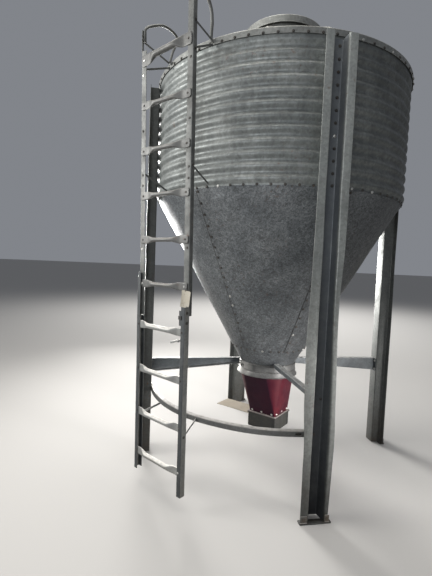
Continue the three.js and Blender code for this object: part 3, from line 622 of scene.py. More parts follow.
def roof():
    t = 2.2
    cols = 60
    for name, mid in BAYS.items():
        a0, a1 = rad(mid + LEG_TURN - 45 + 0.03), rad(mid + LEG_TURN + 45 - 0.03)
        path = [(304.5, roof_z(304.5) - 1.5)]
        for i in range(1, 24):
            r = 304.5 + (1030.6 - 304.5) * i / 24
            path.append((r, roof_z(r) - 1.5))
        path += [(1030.6, roof_z(1030.6) - 1.4), (1030.6, 3018), (1030.8, 3006), (1031.2, 3001)]
        mids = fillet(path, [0] * 23 + [7, 0, 0], 5)
        left, right = thicken(mids, t)

        def place(i, r, z, a0=a0, a1=a1):
            a = a0 + (a1 - a0) * i / cols
            p = (math.cos(a) * r, math.sin(a) * r, z)
            free = max(0.0, min(1.0, (r - 330) / 120, (1015 - r) / 120))
            return polar(a, r, z + swell(p, 260, 2.2, 9.0) * free)
        b = Build()
        b.add(*sweep(left, right, place, cols + 1))
        b.piece(f"roof_{name}", ROOF, "roof_sheet", replaces=[f"roof_panel_{name}"], sharp=50)

    # raised seams of the roof sectors
    seams = Build()
    for k in range(16):
        a = rad(22.5 * k)
        rings = []
        for i in range(25):
            s = i / 24
            r = 352 + (1019 - 352) * s
            end = min(1.0, s * 12, (1 - s) * 12)
            z = roof_z(r) - 0.6 + swell((r * math.cos(a), r * math.sin(a), roof_z(r)), 260, 2.2, 9.0)
            ring = []
            for j in range(9):
                u = math.pi * j / 8
                side = 11 * math.cos(u)
                top = (7.5 * math.sin(u) + 0.4) * (0.25 + 0.75 * end)
                x, y = r * math.cos(a) - side * math.sin(a), r * math.sin(a) + side * math.cos(a)
                ring.append(W(x, y, z + top))
            ring.append(W(r * math.cos(a) + 8 * math.sin(a), r * math.sin(a) - 8 * math.cos(a), z - 1.4))
            ring.append(W(r * math.cos(a) - 8 * math.sin(a), r * math.sin(a) + 8 * math.cos(a), z - 1.4))
            rings.append(ring)
        seams.add(*loft(rings))
    seams.piece("roof_seams", ROOF, "roof_sheet", sharp=50)

    b = Bolts(0.2)
    for k in range(72):
        a = rad(1.65 + 5 * k)
        b.put(polar(a, 1031.7, 3010 + rnd.uniform(-1.5, 1.5)), (math.cos(a), math.sin(a), 0), r=6.6, h=6.2)
    b.done("bolts_eave")


roof()


# ------------------------------------------------------ fill collar and lid
def lathe(path, t, r, n=5, steps=120, wobble=0.0, seed=0.0):
    left, right = thicken(fillet(path, r, n), t)

    def place(i, rr, z):
        a = 2 * math.pi * i / steps
        p = (math.cos(a) * rr, math.sin(a) * rr, z)
        return polar(a, rr + (swell(p, 190, wobble, seed) if wobble else 0), z)
    return sweep(left, right, place, steps, loop=True)


def ring_bead(r, z, rx, rz, steps=120, sides=12):
    verts, faces = [], []
    for i in range(steps):
        a = 2 * math.pi * i / steps
        for j in range(sides):
            u = 2 * math.pi * j / sides
            verts.append(polar(a, r + rx * math.cos(u), z + rz * math.sin(u)))
    for i in range(steps):
        for j in range(sides):
            k, l = (i + 1) % steps, (j + 1) % sides
            faces.append((i * sides + j, i * sides + l, k * sides + l, k * sides + j))
    return verts, faces


def rod(path, r, sides=16, ends=True):
    """Round bar along points in metres, radius in millimetres."""
    pts = [Vector(p) for p in path]
    rings = []
    up = None
    for i, p in enumerate(pts):
        d = (pts[min(i + 1, len(pts) - 1)] - pts[max(i - 1, 0)]).normalized()
        if up is None:
            up = d.orthogonal().normalized()
        up = (up - d * up.dot(d)).normalized()
        side = d.cross(up)
        rr = (r[i] if isinstance(r, (list, tuple)) else r) * 0.001
        rings.append([p + up * (rr * math.cos(2 * math.pi * j / sides)) + side * (rr * math.sin(2 * math.pi * j / sides))
                      for j in range(sides)])
    return loft(rings, ends)


def spline(points, per=8):
    """Centripetal-like smooth path through points (tuples), as Vectors."""
    p = [Vector(q) for q in points]
    p = [p[0] * 2 - p[1]] + p + [p[-1] * 2 - p[-2]]
    out = []
    for i in range(1, len(p) - 2):
        for k in range(per):
            t = k / per
            a, b, c, d = p[i - 1], p[i], p[i + 1], p[i + 2]
            out.append(0.5 * ((2 * b) + (c - a) * t + (2 * a - 5 * b + 4 * c - d) * t * t + (3 * b - a - 3 * c + d) * t ** 3))
    out.append(p[-2])
    return out


HINGE_Y, HINGE_Z = 385, 3504


def fill_top():
    b = Build()
    b.add(*lathe([(345, roof_z(345) + 2.2), (300.8, roof_z(300.8) + 2.2), (300.8, 3528), (300.8, 3535.5)], 3.2, [9, 0]))
    b.add(*ring_bead(300.8, 3532, 3.2, 3.6))
    # hinge cheeks and pin
    for x in (-40.5, 40.5):
        pts = [(330, roof_z(330) + 1), (402, roof_z(402) + 3), (402, HINGE_Z + 6), (398, HINGE_Z + 12), (390, HINGE_Z + 14),
               (380, HINGE_Z + 14), (372, HINGE_Z + 8), (350, HINGE_Z - 22), (330, HINGE_Z - 34)]
        b.add(*loft([[W(xx, y, z) for y, z in pts] for xx in (x - 2.2, x + 2.2)]))
    b.add(*rod([W(x, HINGE_Y, HINGE_Z) for x in (-50, -49, 49, 50)], [4.8, 5.8, 5.8, 4.8], 20))
    b.piece("fill_neck", ROOF, "roof_sheet", replaces=["fill_collar"], sharp=45)
    rivets = Bolts(0.4)
    for k in range(18):
        a = rad(10 + 20 * k)
        if abs((k * 20 + 10) - 90) < 9:
            continue
        n = Vector((math.cos(a) * math.sin(rad(30)), math.sin(a) * math.sin(rad(30)), math.cos(rad(30))))
        rivets.put(polar(a, 331, roof_z(331) + 3.7), n, r=5.2, h=4.2, washer=7.6)
    rivets.done("bolts_fill_neck")

    lid = Build()
    path = [(0.6, 3581.8), (60, 3581.2), (150, 3576), (230, 3565.5), (285, 3557), (325, 3547), (333.6, 3541), (333.6, 3489.5)]
    lid.add(*lathe(path, 2.6, [60, 80, 80, 60, 40, 6], 4))
    lid.add(*ring_bead(333.4, 3491, 2.6, 2.8))
    for r in (110, 190):
        z = 3576 + (150 - r) * 0.115 if r < 150 else 3576 - (r - 150) * 0.135
        lid.add(*ring_bead(r, z + 1.6, 7, 2.0))
    # lug of the hinge
    pts = [(330, HINGE_Z - 11), (HINGE_Y - 2, HINGE_Z - 12)]
    for i in range(9):
        u = -math.pi / 2 + math.pi * i / 8
        pts.append((HINGE_Y + 12.4 * math.cos(u), HINGE_Z + 12.4 * math.sin(u)))
    pts += [(HINGE_Y - 2, HINGE_Z + 13), (330, HINGE_Z + 21)]
    # a curled eye round the pin, open at its middle
    outer = pts
    eye = [(HINGE_Y + 7 * math.cos(2 * math.pi * i / 16), HINGE_Z + 7 * math.sin(2 * math.pi * i / 16)) for i in range(16)]
    bm = bmesh.new()
    rings = []
    for x in (-31.5, 31.5):
        vo = [bm.verts.new(W(x, y, z)) for y, z in outer]
        vi = [bm.verts.new(W(x, y, z)) for y, z in eye]
        eo = [bm.edges.new((vo[i], vo[(i + 1) % len(vo)])) for i in range(len(vo))]
        ei = [bm.edges.new((vi[i], vi[(i + 1) % len(vi)])) for i in range(len(vi))]
        bmesh.ops.triangle_fill(bm, use_beauty=True, edges=eo + ei)
        rings.append((vo, vi))
    for k in range(2):
        a, c = rings[0][k], rings[1][k]
        for i in range(len(a)):
            j = (i + 1) % len(a)
            bm.faces.new((a[i], a[j], c[j], c[i]))
    bm.verts.index_update()
    lid.add([tuple(v.co) for v in bm.verts], [tuple(v.index for v in f.verts) for f in bm.faces])
    bm.free()
    lid.piece("lid", ROOF, "roof_sheet", body="fill_lid", replaces=["fill_lid"], sharp=40)


fill_top()


# ------------------------------------------------------------- hopper cone
R_SEAM, Z_SEAM, CONE_T = 316, 890, 4.5
CONE_DR = (1006 * math.cos(rad(3)) - 0.5 - R_SEAM) / (Z_JOIN - 1 - Z_SEAM)
GORE_0 = -92.7
HYP = math.hypot(1, CONE_DR)


def cone_r(z, inward=0.0):
    return R_SEAM + (z - Z_SEAM) * CONE_DR - inward * HYP


def hopper():
    lap = 24.0
    for i in range(6):
        a0 = rad(GORE_0 + 60 * i)
        zs = [Z_SEAM - 6 + (Z_JOIN - 2.5 - Z_SEAM + 6) * k / 48 for k in range(49)]
        path = [(cone_r(z, 1.4), z) for z in zs] + [(cone_r(Z_JOIN - 2.5, 1.4), 2124), (cone_r(Z_JOIN - 2.5, 1.4), 2148)]
        mids = fillet(path, [0] * 47 + [3, 0], 3)
        left, right = thicken(mids, 1.8)
        # columns: (share of the sheet, arc in mm, how far it stands out)
        cols = [(0, -lap, 2.3), (0, -lap * 0.5, 2.3), (0, 1, 2.3), (0, 7, 0.6), (0, 11, 0.0)]
        cols += [(k / 30, 0, 0.0) for k in range(1, 30)]
        cols += [(1, -10, 0.0), (1, -1, 0.0)]

        def place(k, r, z, a0=a0, cols=cols):
            f, arc, out = cols[k]
            if z > Z_JOIN - 1:
                out = out * 0.0 - 0.2
            a = a0 + rad(60) * f + arc / max(r, 200)
            p = (math.cos(a) * r, math.sin(a) * r, z)
            free = max(0.0, min(1.0, (z - 900) / 150, (2090 - z) / 90))
            return polar(a, r + out + swell(p, 240, 5.0, 21) * free + swell(p, 90, 1.2, 4) * free, z)
        b = Build()
        b.add(*sweep(left, right, place, len(cols)))
        b.piece(f"gore_{i + 1}", HOPPER, "hopper_sheet", replaces=[f"hopper_gore_{i + 1}"], sharp=34)

    def surface(a, z):
        r = cone_r(z)
        p = (math.cos(a) * r, math.sin(a) * r, z)
        free = max(0.0, min(1.0, (z - 900) / 150, (2090 - z) / 90))
        return r + swell(p, 240, 5.0, 21) * free + swell(p, 90, 1.2, 4) * free

    # dark sealant pressed out along the laps
    seal = Build()
    for i in range(6):
        pts, radii = [], []
        for k in range(97):
            z = 2092 - (2092 - 900) * k / 96
            a = rad(GORE_0 + 60 * i) - (lap + 1.2) / cone_r(z)
            pts.append(polar(a, surface(a, z) + 0.8, z))
            radii.append(2.3 + 0.9 * math.sin(k * 1.7 + i) * math.sin(k * 0.61))
        seal.add(*rod(pts, radii, 8))
    seal.piece("hopper_sealant", GASKET, "dark_steel", sharp=60)

    seam = Bolts(0.08)
    normal = lambda a: (math.cos(a), math.sin(a), -CONE_DR)
    for i in range(6):
        z = 2088.0
        while z > 930:
            r = cone_r(z)
            a = rad(GORE_0 + 60 * i) - 10.5 / r
            p = (math.cos(a) * r, math.sin(a) * r, z)
            free = max(0.0, min(1.0, (z - 900) / 150, (2090 - z) / 90))
            rr = r + 1.6 + swell(p, 240, 5.0, 21) * free + swell(p, 90, 1.2, 4) * free
            seam.put(polar(a, rr, z), normal(a), r=7.0, h=6.0, washer=10.4)
            z -= 84 / HYP
    for k in range(30):
        a = rad(12 * k + 3)
        z = 905 + rnd.uniform(-1, 1)
        seam.put(polar(a, cone_r(z) + 0.6, z), normal(a), r=6.6, h=5.6, washer=9.6)
    seam.done("bolts_hopper")


hopper()


def outlet():
    b = Build()
    inn = CONE_T + 0.4 + 1.2
    path = [(cone_r(924, inn), 924), (cone_r(782, inn), 782), (cone_r(770, inn) + 1, 770)]
    b.add(*lathe(path, 2.2, [8], 3, 144, 0.8, 7))
    b.piece("outlet_cone", HOPPER, "hopper_sheet", replaces=["hopper_outlet"], sharp=42)
    b = Build()
    path = [(cone_r(771, inn) - 3, 771), (244.2, 762), (244.2, 708), (249.5, 690), (259.5, 663)]
    b.add(*lathe(path, 2.2, [5, 8, 10], 5, 144, 1.6, 7))
    b.add(*ring_bead(246.2, 760, 5.2, 5.6, 144))
    b.add(*ring_bead(247.0, 706, 4.2, 4.6, 144))
    b.add(*ring_bead(259.6, 665, 4.4, 4.0, 144))
    # clamping band round the collar with its tightening ears
    b.add(*lathe([(246.6, 744), (246.6, 722)], 1.6, [], 2, 144))
    a = rad(-118)
    for s in (-1, 1):
        c = Vector((249 * math.cos(a) - s * 9 * math.sin(a), 249 * math.sin(a) + s * 9 * math.cos(a), 0))
        d, t = Vector((math.cos(a), math.sin(a), 0)), Vector((-math.sin(a), math.cos(a), 0))

        def ear(x, y, z, c=c, d=d, t=t):
            q = c + d * x + t * y
            return W(q.x, q.y, z)
        b.add(*block(-4, 14, -1.6, 1.6, 722, 744, ear))
    b.piece("outlet_collar", COLLAR, "hopper_sheet", sharp=42)
    k = Bolts(0.9)
    d, t = Vector((math.cos(a), math.sin(a), 0)), Vector((-math.sin(a), math.cos(a), 0))
    c = d * 255
    k.put(W(*(c + t * 10.6 + Vector((0, 0, 733)))), t, bright=True, r=5.0, h=4.5, washer=7)
    k.put(W(*(c - t * 10.6 + Vector((0, 0, 733)))), -t, bright=True, r=5.0, h=4.5, washer=7, nut=True)
    k.done("bolts_outlet")


outlet()


# -------------------------------------------------------------------- boot
BOOT_DX, BOOT_HALF, FLANGE, EDGE = 40, 127, 139, 28
BOOT_T = [(742, 0.0), (690, 0.0), (645, 0.06), (600, 0.20), (550, 0.36), (490, 0.53), (420, 0.73), (360, 0.91), (320, 1.0), (300, 1.0)]


def lerp(table, x):
    """Value of a falling table at x."""
    for (x0, y0), (x1, y1) in zip(table, table[1:]):
        if x >= x1:
            return y0 + (y1 - y0) * (x0 - x) / (x0 - x1)
    return table[-1][1]


def boot_ring(z, t, flat, r, half, corner, arcs=12, sides=14):
    """Circle of radius r with t = 0, rounded square with t = 1; flat straightens the sides' arcs."""
    def top(d):
        return Vector((r * math.cos(rad(d)), r * math.sin(rad(d))))

    def foot(q, d):
        a, k = rad(90 * q + 45), (half - corner) * math.sqrt(2)
        return Vector((k * math.cos(a) + corner * math.cos(rad(90 * q + d)), k * math.sin(a) + corner * math.sin(rad(90 * q + d))))
    ring = []

    def put(p, q):
        ring.append(W((1 - t) * p.x + t * (q.x + BOOT_DX), (1 - t) * p.y + t * q.y, z))
    for q in range(4):
        for i in range(arcs + 1):
            put(top(90 * q + EDGE + (90 - 2 * EDGE) * i / arcs), foot(q, 90 * i / arcs))
        a, b = top(90 * q + 90 - EDGE), top(90 * q + 90 + EDGE)
        c, d = foot(q, 90), foot(q + 1, 0)
        for i in range(1, sides):
            k = i / sides
            arc = top(90 * q + 90 - EDGE + 2 * EDGE * k)
            put(arc.lerp(a.lerp(b, k), flat), c.lerp(d, k))
    return ring


def boot():
    def flat(z):
        return 0.72 * max(0.0, min(1.0, (690 - z) / 40))
    zs = [742, 735, 712] + [690 - 370 * k / 37 for k in range(38)] + [315]
    outer = [boot_ring(z, lerp(BOOT_T, z), flat(z), 238, BOOT_HALF, 13) for z in zs]
    inner = [boot_ring(z, lerp(BOOT_T, z), flat(z), 233.4, BOOT_HALF - 4.6, 9) for z in zs]
    rings = outer + list(reversed(inner))
    n = len(rings[0])
    verts = [p for ring in rings for p in ring]
    faces = []
    for i in range(len(rings)):
        k = (i + 1) % len(rings)
        for j in range(n):
            l = (j + 1) % n
            faces.append((i * n + j, i * n + l, k * n + l, k * n + j))
    b = Build()
    b.add(verts, faces)
    b.piece("boot_shell", BOOT, "boot_plastic", replaces=["boot"], sharp=10)

    # square frame under the shell
    f = Build()
    rings = [boot_ring(z, 1, 0, 0, h, c) for z, h, c in
             ((314.6, BOOT_HALF - 3, 9), (314.6, FLANGE - 1, 11), (313.6, FLANGE, 12), (307.2, FLANGE, 12), (306.2, FLANGE - 1, 11),
              (306.2, BOOT_HALF - 5, 8))]
    n = len(rings[0])
    faces = []
    for i in range(len(rings)):
        k = (i + 1) % len(rings)
        for j in range(n):
            faces.append((i * n + j, i * n + (j + 1) % n, k * n + (j + 1) % n, k * n + j))
    f.add([p for ring in rings for p in ring], faces)
    f.piece("boot_frame", FRAME, "dark_steel", sharp=40)

    # bolts through the shell's foot, three on a side, a little uneven
    k = Bolts(1.0)
    for q in range(4):
        a = rad(90 * q)
        ca, sa = math.cos(a), math.sin(a)
        for y in (-95, 0, 95):
            yy, z = y + rnd.uniform(-2, 2), 331 + rnd.uniform(-1.5, 1.5)
            x = BOOT_HALF + 0.6
            k.put(W(BOOT_DX + x * ca - yy * sa, x * sa + yy * ca, z), (ca, sa, 0), bright=True, r=6.6, h=5.6, washer=10)
    k.done("bolts_boot")


boot()


# -------------------------------------------------------------- slide gate
def gate():
    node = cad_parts["gate_housing"]
    me = node.data.copy()
    bm = bmesh.new()
    bm.from_mesh(me)
    b = Build()
    b.add([tuple(v.co) for v in bm.verts], [tuple(v.index for v in f.verts) for f in bm.faces])
    bm.free()
    bpy.data.meshes.remove(me)
    # folded laps down the corners
    for sx in (-1, 1):
        for sy in (-1, 1):
            x, y = BOOT_DX + sx * 129, sy * 129
            b.add(*block(x - 1.0, x + 2.6 * sx, y - 16 * sy, y + 2.6 * sy, 182, 295))
    b.piece("gate_box", DARK, "dark_steel", replaces=["gate_housing"], sharp=40, bevel=1.2)

    # blade with a slight bow across
    p = Build()
    x0, x1, hw, z0 = -470.0, -80.0, 92.0, 264.0
    out = [Vector((x0 + (x1 - x0) * k / 16, z0 + 4.0)) for k in range(17)]
    left, right = thicken(out, 3.2)
    cols = 16

    def place(i, x, z):
        y = -hw + 2 * hw * i / cols
        return W(x, y, z - 0.6 + swell((x, y, 0), 130, 1.0, 5))
    p.add(*sweep(left, right, place, cols + 1))
    p.piece("gate_blade", PLATE, "gate_plate", body="gate_plate", replaces=["gate_plate"], sharp=40)


gate()


# -------------------------------------------------------------------- legs
LEG_TOP, HALF_WEB, DEPTH, LIP, LEG_R = 2984, 50, 88, 50, 1024.4


BENT_Z = [2984, 2000, 1700, 1440, 1180, 760, 530, 300, 0]
BENT_LEFT = list(zip(BENT_Z, [0, 0, 8, 8, 20, 14, 0, 0, 0]))
BENT_WALL = list(zip(BENT_Z, [0, 0, 0, 2, 5, 16, 18, 17, 14]))
BENT_RIGHT = list(zip(BENT_Z, [0, 0, -8, -20, -21, -8, 0, -8, -19]))


def leg():
    t = 4.0
    lx = LEG_R
    steps = 36
    for name, ang in LEGS.items():
        lo = lx + (76 if name == "front_left" else DEPTH)
        path = [(lo - t / 2, -HALF_WEB - LIP), (lo - t / 2, -HALF_WEB + t / 2), (lx + t / 2, -HALF_WEB + t / 2),
                (lx + t / 2, HALF_WEB - t / 2), (lo - t / 2, HALF_WEB - t / 2), (lo - t / 2, HALF_WEB + LIP)]
        mids = fillet(path, [7, 7, 7, 7], 5)
        left, right = thicken(mids, t)
        a = rad(ang)
        ca, sa = math.cos(a), math.sin(a)

        def at(x, y, z):
            return W(x * ca - y * sa, x * sa + y * ca, z)
        seed = rnd.uniform(0, 50)
        bent = name == "front_right"

        def place(i, x, y, at=at, seed=seed, bent=bent, lo=lo):
            z = 2 + (LEG_TOP - 2) * i / steps
            if bent:
                if y > 99:
                    y += lerp(BENT_RIGHT, z)
                elif y > 0:
                    y += lerp(BENT_WALL, z) * max(0.0, min(1.0, (x - lx - t) / (lo - 2 * t - lx)))
                elif y < -99:
                    y -= lerp(BENT_LEFT, z)
            hold = 1.0 if z < 2080 else 0.25
            dx = swell((x * 0.3, y * 0.3, z), 420, 2.4, seed) * hold * ((x - lx) / DEPTH)
            dy = swell((x * 0.3, y * 0.3, z), 380, 3.0, seed + 9) * hold * ((x - lx) / DEPTH)
            return at(x + dx, y + dy, z)
        b = Build()
        b.add(*sweep(left, right, place, steps + 1))
        # foot plate with rounded corners
        plate = []
        for z, g in ((0, 1.2), (0.8, 0), (7.2, 0), (8, 1.2)):
            ring = []
            for cx, cy, s in ((1080, -106, 0), (1124, -106, 1), (1124, 106, 2), (1080, 106, 3)):
                sx, sy = (1 if cx < 1100 else -1), (1 if cy < 0 else -1)
                for k in range(5):
                    u = math.pi * (1 + 0.5 * s) + math.pi / 2 * k / 4
                    ring.append(at(cx + sx * 8 + (8 - g) * math.cos(u), cy + sy * 8 + (8 - g) * math.sin(u), z))
            plate.append(ring)
        b.add(*loft(plate))
        # the front legs take the lighter and darker copies of the leg zinc: painted light and painted shade
        b.piece(f"leg_post_{name}", {"front_left": LEG_SHADED, "front_right": LEG_LIT}.get(name, LEG), "leg_steel", replaces=[f"leg_{name}"], sharp=38)

        # angle clips that hold the lips down on the plate
        c = Build()
        spans = [(-100, -55), (62, 92) if bent else (55, 100)]
        for y0, y1 in spans:
            c.add(*block(lo + 0.2, lo + 4.8, y0, y1, 8.2, 52, at))
            c.add(*block(lo + 4.4, 1123, y0, y1, 8.2, 12.4, at))
        c.piece(f"foot_clips_{name}", BRIGHT, "bright_steel", sharp=40, bevel=0.9)
        k = Bolts(0.12)
        n = (ca, sa, 0)
        for i in range(12):
            z = 2110.0 + PITCH * i
            for y in (-26, 26):
                k.put(at(lx + t, y, z + rnd.uniform(-2, 2)), n, r=7.0, h=6.4, washer=10.5)
        for y0, y1 in spans:
            k.put(at(lo + 4.8, (y0 + y1) / 2, 30), n, bright=False, r=8.0, h=6, washer=12)
        k.done(f"bolts_leg_{name}")


leg()


# ------------------------------------------------------------------ braces
def braces():
    for name, ang in LEGS.items():
        a = rad(ang)
        ca, sa = math.cos(a), math.sin(a)

        def at(x, y, z):
            return W(x * ca - y * sa, x * sa + y * ca, z)
        x1 = LEG_R - 0.4
        t = 3.4
        b = Build()
        # tapered channel: the section's web shortens towards the cone
        steps = 24
        x_in = 251.5

        shallow = name == "front_right"

        def low(x, shallow=shallow, x1=x1):
            return 752 if shallow else 678 + (742 - 678) * (x1 - x) / (x1 - 200)
        # outline with the flanges' thickness given in height at each station
        outer = [(20, 0, 0), (-16, 0, 0), (-20, 0, 4), (-20, 1, -4), (-16, 1, 0), (20, 1, 0)]
        inner = [(20, 1, -t), (-16.6 + 0.6, 1, -t), (-20 + t, 1, -t - 1), (-20 + t, 0, t + 1), (-16, 0, t), (20, 0, t)]
        ring = outer + inner
        verts, faces = [], []
        n = len(ring)
        for i in range(steps + 1):
            x = x_in + (x1 - 3.5 - x_in) * i / steps
            z0, z1 = low(x), 790
            for y, top, dz in ring:
                zz = (z1 if top else z0) + dz
                verts.append(at(x, y + swell((x, y, zz), 300, 1.2, ang), zz))
        for i in range(steps):
            for j in range(n):
                l = (j + 1) % n
                faces.append((i * n + j, i * n + l, (i + 1) * n + l, (i + 1) * n + j))
        for i in (0, steps):
            for j in range(5):
                faces.append((i * n + j, i * n + j + 1, i * n + n - 2 - j, i * n + n - 1 - j))
        b.add(verts, faces)
        b.add(*block(x1 - 4.2, x1 - 0.2, -42, 42, low(x1) - 7, 789, at))
        b.piece(f"brace_arm_{name}", BRACE, "leg_steel", replaces=[f"brace_{name}"], sharp=34, bevel=0.8)
        k = Bolts(0.5)
        for y in (-32, 32):
            for z in ((767,) if shallow else (694, 766)):
                k.put(at(x1 - 4.2, y, z), (-ca, -sa, 0), r=6.4, h=5.6, nut=True)
                k.put(at(LEG_R + 4, y, z), (ca, sa, 0), r=6.8, h=6.0)
        k.done(f"bolts_brace_{name}")


braces()


# -------------------------------------------------------------------- rail
def rail():
    t, r, z = 4.6, 1024.0, 556
    path = fillet([(r - 34, z - t / 2), (r - t / 2, z - t / 2), (r - t / 2, z - 38)], [5], 5)
    left, right = thicken(path, t)
    steps = 96
    a0, a1 = rad(LEG_TURN - 137.5), rad(LEG_TURN - 42.5)

    def place(i, rr, zz):
        a = a0 + (a1 - a0) * i / steps
        p = (math.cos(a) * rr, math.sin(a) * rr, zz)
        free = math.sin(math.pi * i / steps)
        return polar(a, rr + swell(p, 260, 3.0, 2) * free, zz + swell(p, 300, 3.0, 6) * free)
    b = Build()
    b.add(*sweep(left, right, place, steps + 1))
    ob = b.piece("support_rail", BRIGHT, "bright_steel", replaces=["ladder_rail"], sharp=40)
    # slots punched in the upright flange near both ends
    tools = Build()
    shade = Build()
    for ang in (-50.6 + LEG_TURN, -129.4 + LEG_TURN):
        a = rad(ang)
        rings = []
        for rr in (1000, 1040):
            ring = []
            for k in range(16):
                u = 2 * math.pi * k / 16
                side = (13 if math.cos(u) > 0 else -13) * (abs(math.cos(u)) > 0.3) + 9 * math.cos(u)
                up = 9.5 * math.sin(u)
                ring.append(W(rr * math.cos(a) - side * math.sin(a), rr * math.sin(a) + side * math.cos(a), 535 + up))
            rings.append(ring)
        tools.add(*loft(rings))

        def behind(x, y, z, a=a):
            return W(x * math.cos(a) - y * math.sin(a), x * math.sin(a) + y * math.cos(a), z)
        # dark block behind each slot: painted shade, a dark sheet standing in for the shadow seen through the slot
        shade.add(*block(1009, 1013, -30, 30, 520, 550, behind))
    carve(ob, tools)
    shade.piece("rail_slot_shade", GASKET, "dark_steel", sharp=40, bevel=0.8)
    k = Bolts(0.7)
    for ang in (LEGS["front_right"], LEGS["front_left"]):
        a = rad(ang)
        k.put(polar(a, LEG_R + 4, 536), (math.cos(a), math.sin(a), 0), r=7, h=6)
        k.put(polar(a, 1024 - 4.8, 536), (-math.cos(a), -math.sin(a), 0), r=7, h=6, nut=True)
    k.done("bolts_rail")


def carve(ob, tools):
    """Cuts the tool bodies out of a finished piece."""
    me = bpy.data.meshes.new("tool")
    me.from_pydata(tools.v, [], tools.f)
    bm = bmesh.new()
    bm.from_mesh(me)
    bmesh.ops.recalc_face_normals(bm, faces=bm.faces)
    bm.to_mesh(me)
    bm.free()
    tool = bpy.data.objects.new("tool", me)
    bpy.context.scene.collection.objects.link(tool)
    m = ob.modifiers.new("cut", 'BOOLEAN')
    m.operation = 'DIFFERENCE'
    m.solver = 'EXACT'
    m.object = tool
    deps = bpy.context.evaluated_depsgraph_get()
    deps.update()
    new = bpy.data.meshes.new_from_object(ob.evaluated_get(deps), depsgraph=deps)
    ob.modifiers.remove(m)
    old = ob.data
    ob.data = new
    new.polygons.foreach_set("use_smooth", [True] * len(new.polygons))
    new.set_sharp_from_angle(angle=rad(38))
    bpy.data.objects.remove(tool)
    bpy.data.meshes.remove(me)
    bpy.data.meshes.remove(old)


rail()


# ------------------------------------------------------------------ ladder
def section(x, y, z, turn, lean):
    m = (Matrix.Translation((x, y, z)) @ Matrix.Rotation(rad(turn - 90), 4, 'Z')
         @ Matrix.Rotation(rad(lean), 4, 'Y') @ Matrix.Translation((0, 0, -z)))
    return lambda px, py, pz: W(*(m @ Vector((px, py, pz))))


UP = dict(x=-161, y=-1210, z=2056, turn=0, lean=1.43)
LO = dict(x=-154, y=-1221, z=556, turn=-5.2, lean=0.6)
UP_HALF, LO_HALF = 181, 208
upper, lower = section(**UP), section(**LO)


def direction(place, v):
    a, b = Vector(place(0, 0, 1000)), Vector(place(v[0] * 100, v[1] * 100, 1000 + v[2] * 100))
    return (b - a).normalized()


def in_upper(x, y, z):
    c, n = math.cos(rad(UP["lean"])), math.sin(rad(UP["lean"]))
    a, d = UP["y"] - y, z - UP["z"]
    return (a * c - d * n, x - UP["x"], a * n + d * c + UP["z"])


def post(place, side, half, face, depth, z0, z1, back=False, seed=0.0, t=3.0):
    """Angle stile, or a channel with a second flange at the back."""
    y0, y1 = side * half, side * (half + face - t / 2)
    path = [(-t / 2, y0), (-t / 2, y1), (-depth + (t / 2 if back else 0), y1)]
    if back:
        path.append((-depth + t / 2, y0))
    mids = fillet(path, [4.5] * (len(path) - 2), 4)
    left, right = thicken(mids, t)
    steps = max(8, int((z1 - z0) / 60))

    def go(i, x, y):
        z = z0 + (z1 - z0) * i / steps
        return place(x, y + swell((0, side * 50, z), 330, 2.2, seed), z)
    return sweep(left, right, go, steps + 1)


def strap(place, x0, z0, x1, z1, width, y, t=3.4, aside=0.0, n=10, seed=1.0):
    """Flat bar in a plane of constant y, from (x0, z0) to (x1, z1), bent aside at the end."""
    rings = []
    for i in range(n + 1):
        s = i / n
        x, z, yy = x0 + (x1 - x0) * s, z0 + (z1 - z0) * s, y - aside * s
        h = width / 2
        rings.append([place(x, yy - t / 2, z - h + 0.6), place(x, yy - t / 2 + 0.6, z - h), place(x, yy + t / 2 - 0.6, z - h),
                      place(x, yy + t / 2, z - h + 0.6), place(x, yy + t / 2, z + h - 0.6), place(x, yy + t / 2 - 0.6, z + h),
                      place(x, yy - t / 2 + 0.6, z + h), place(x, yy - t / 2, z + h - 0.6)])
    return loft(rings)


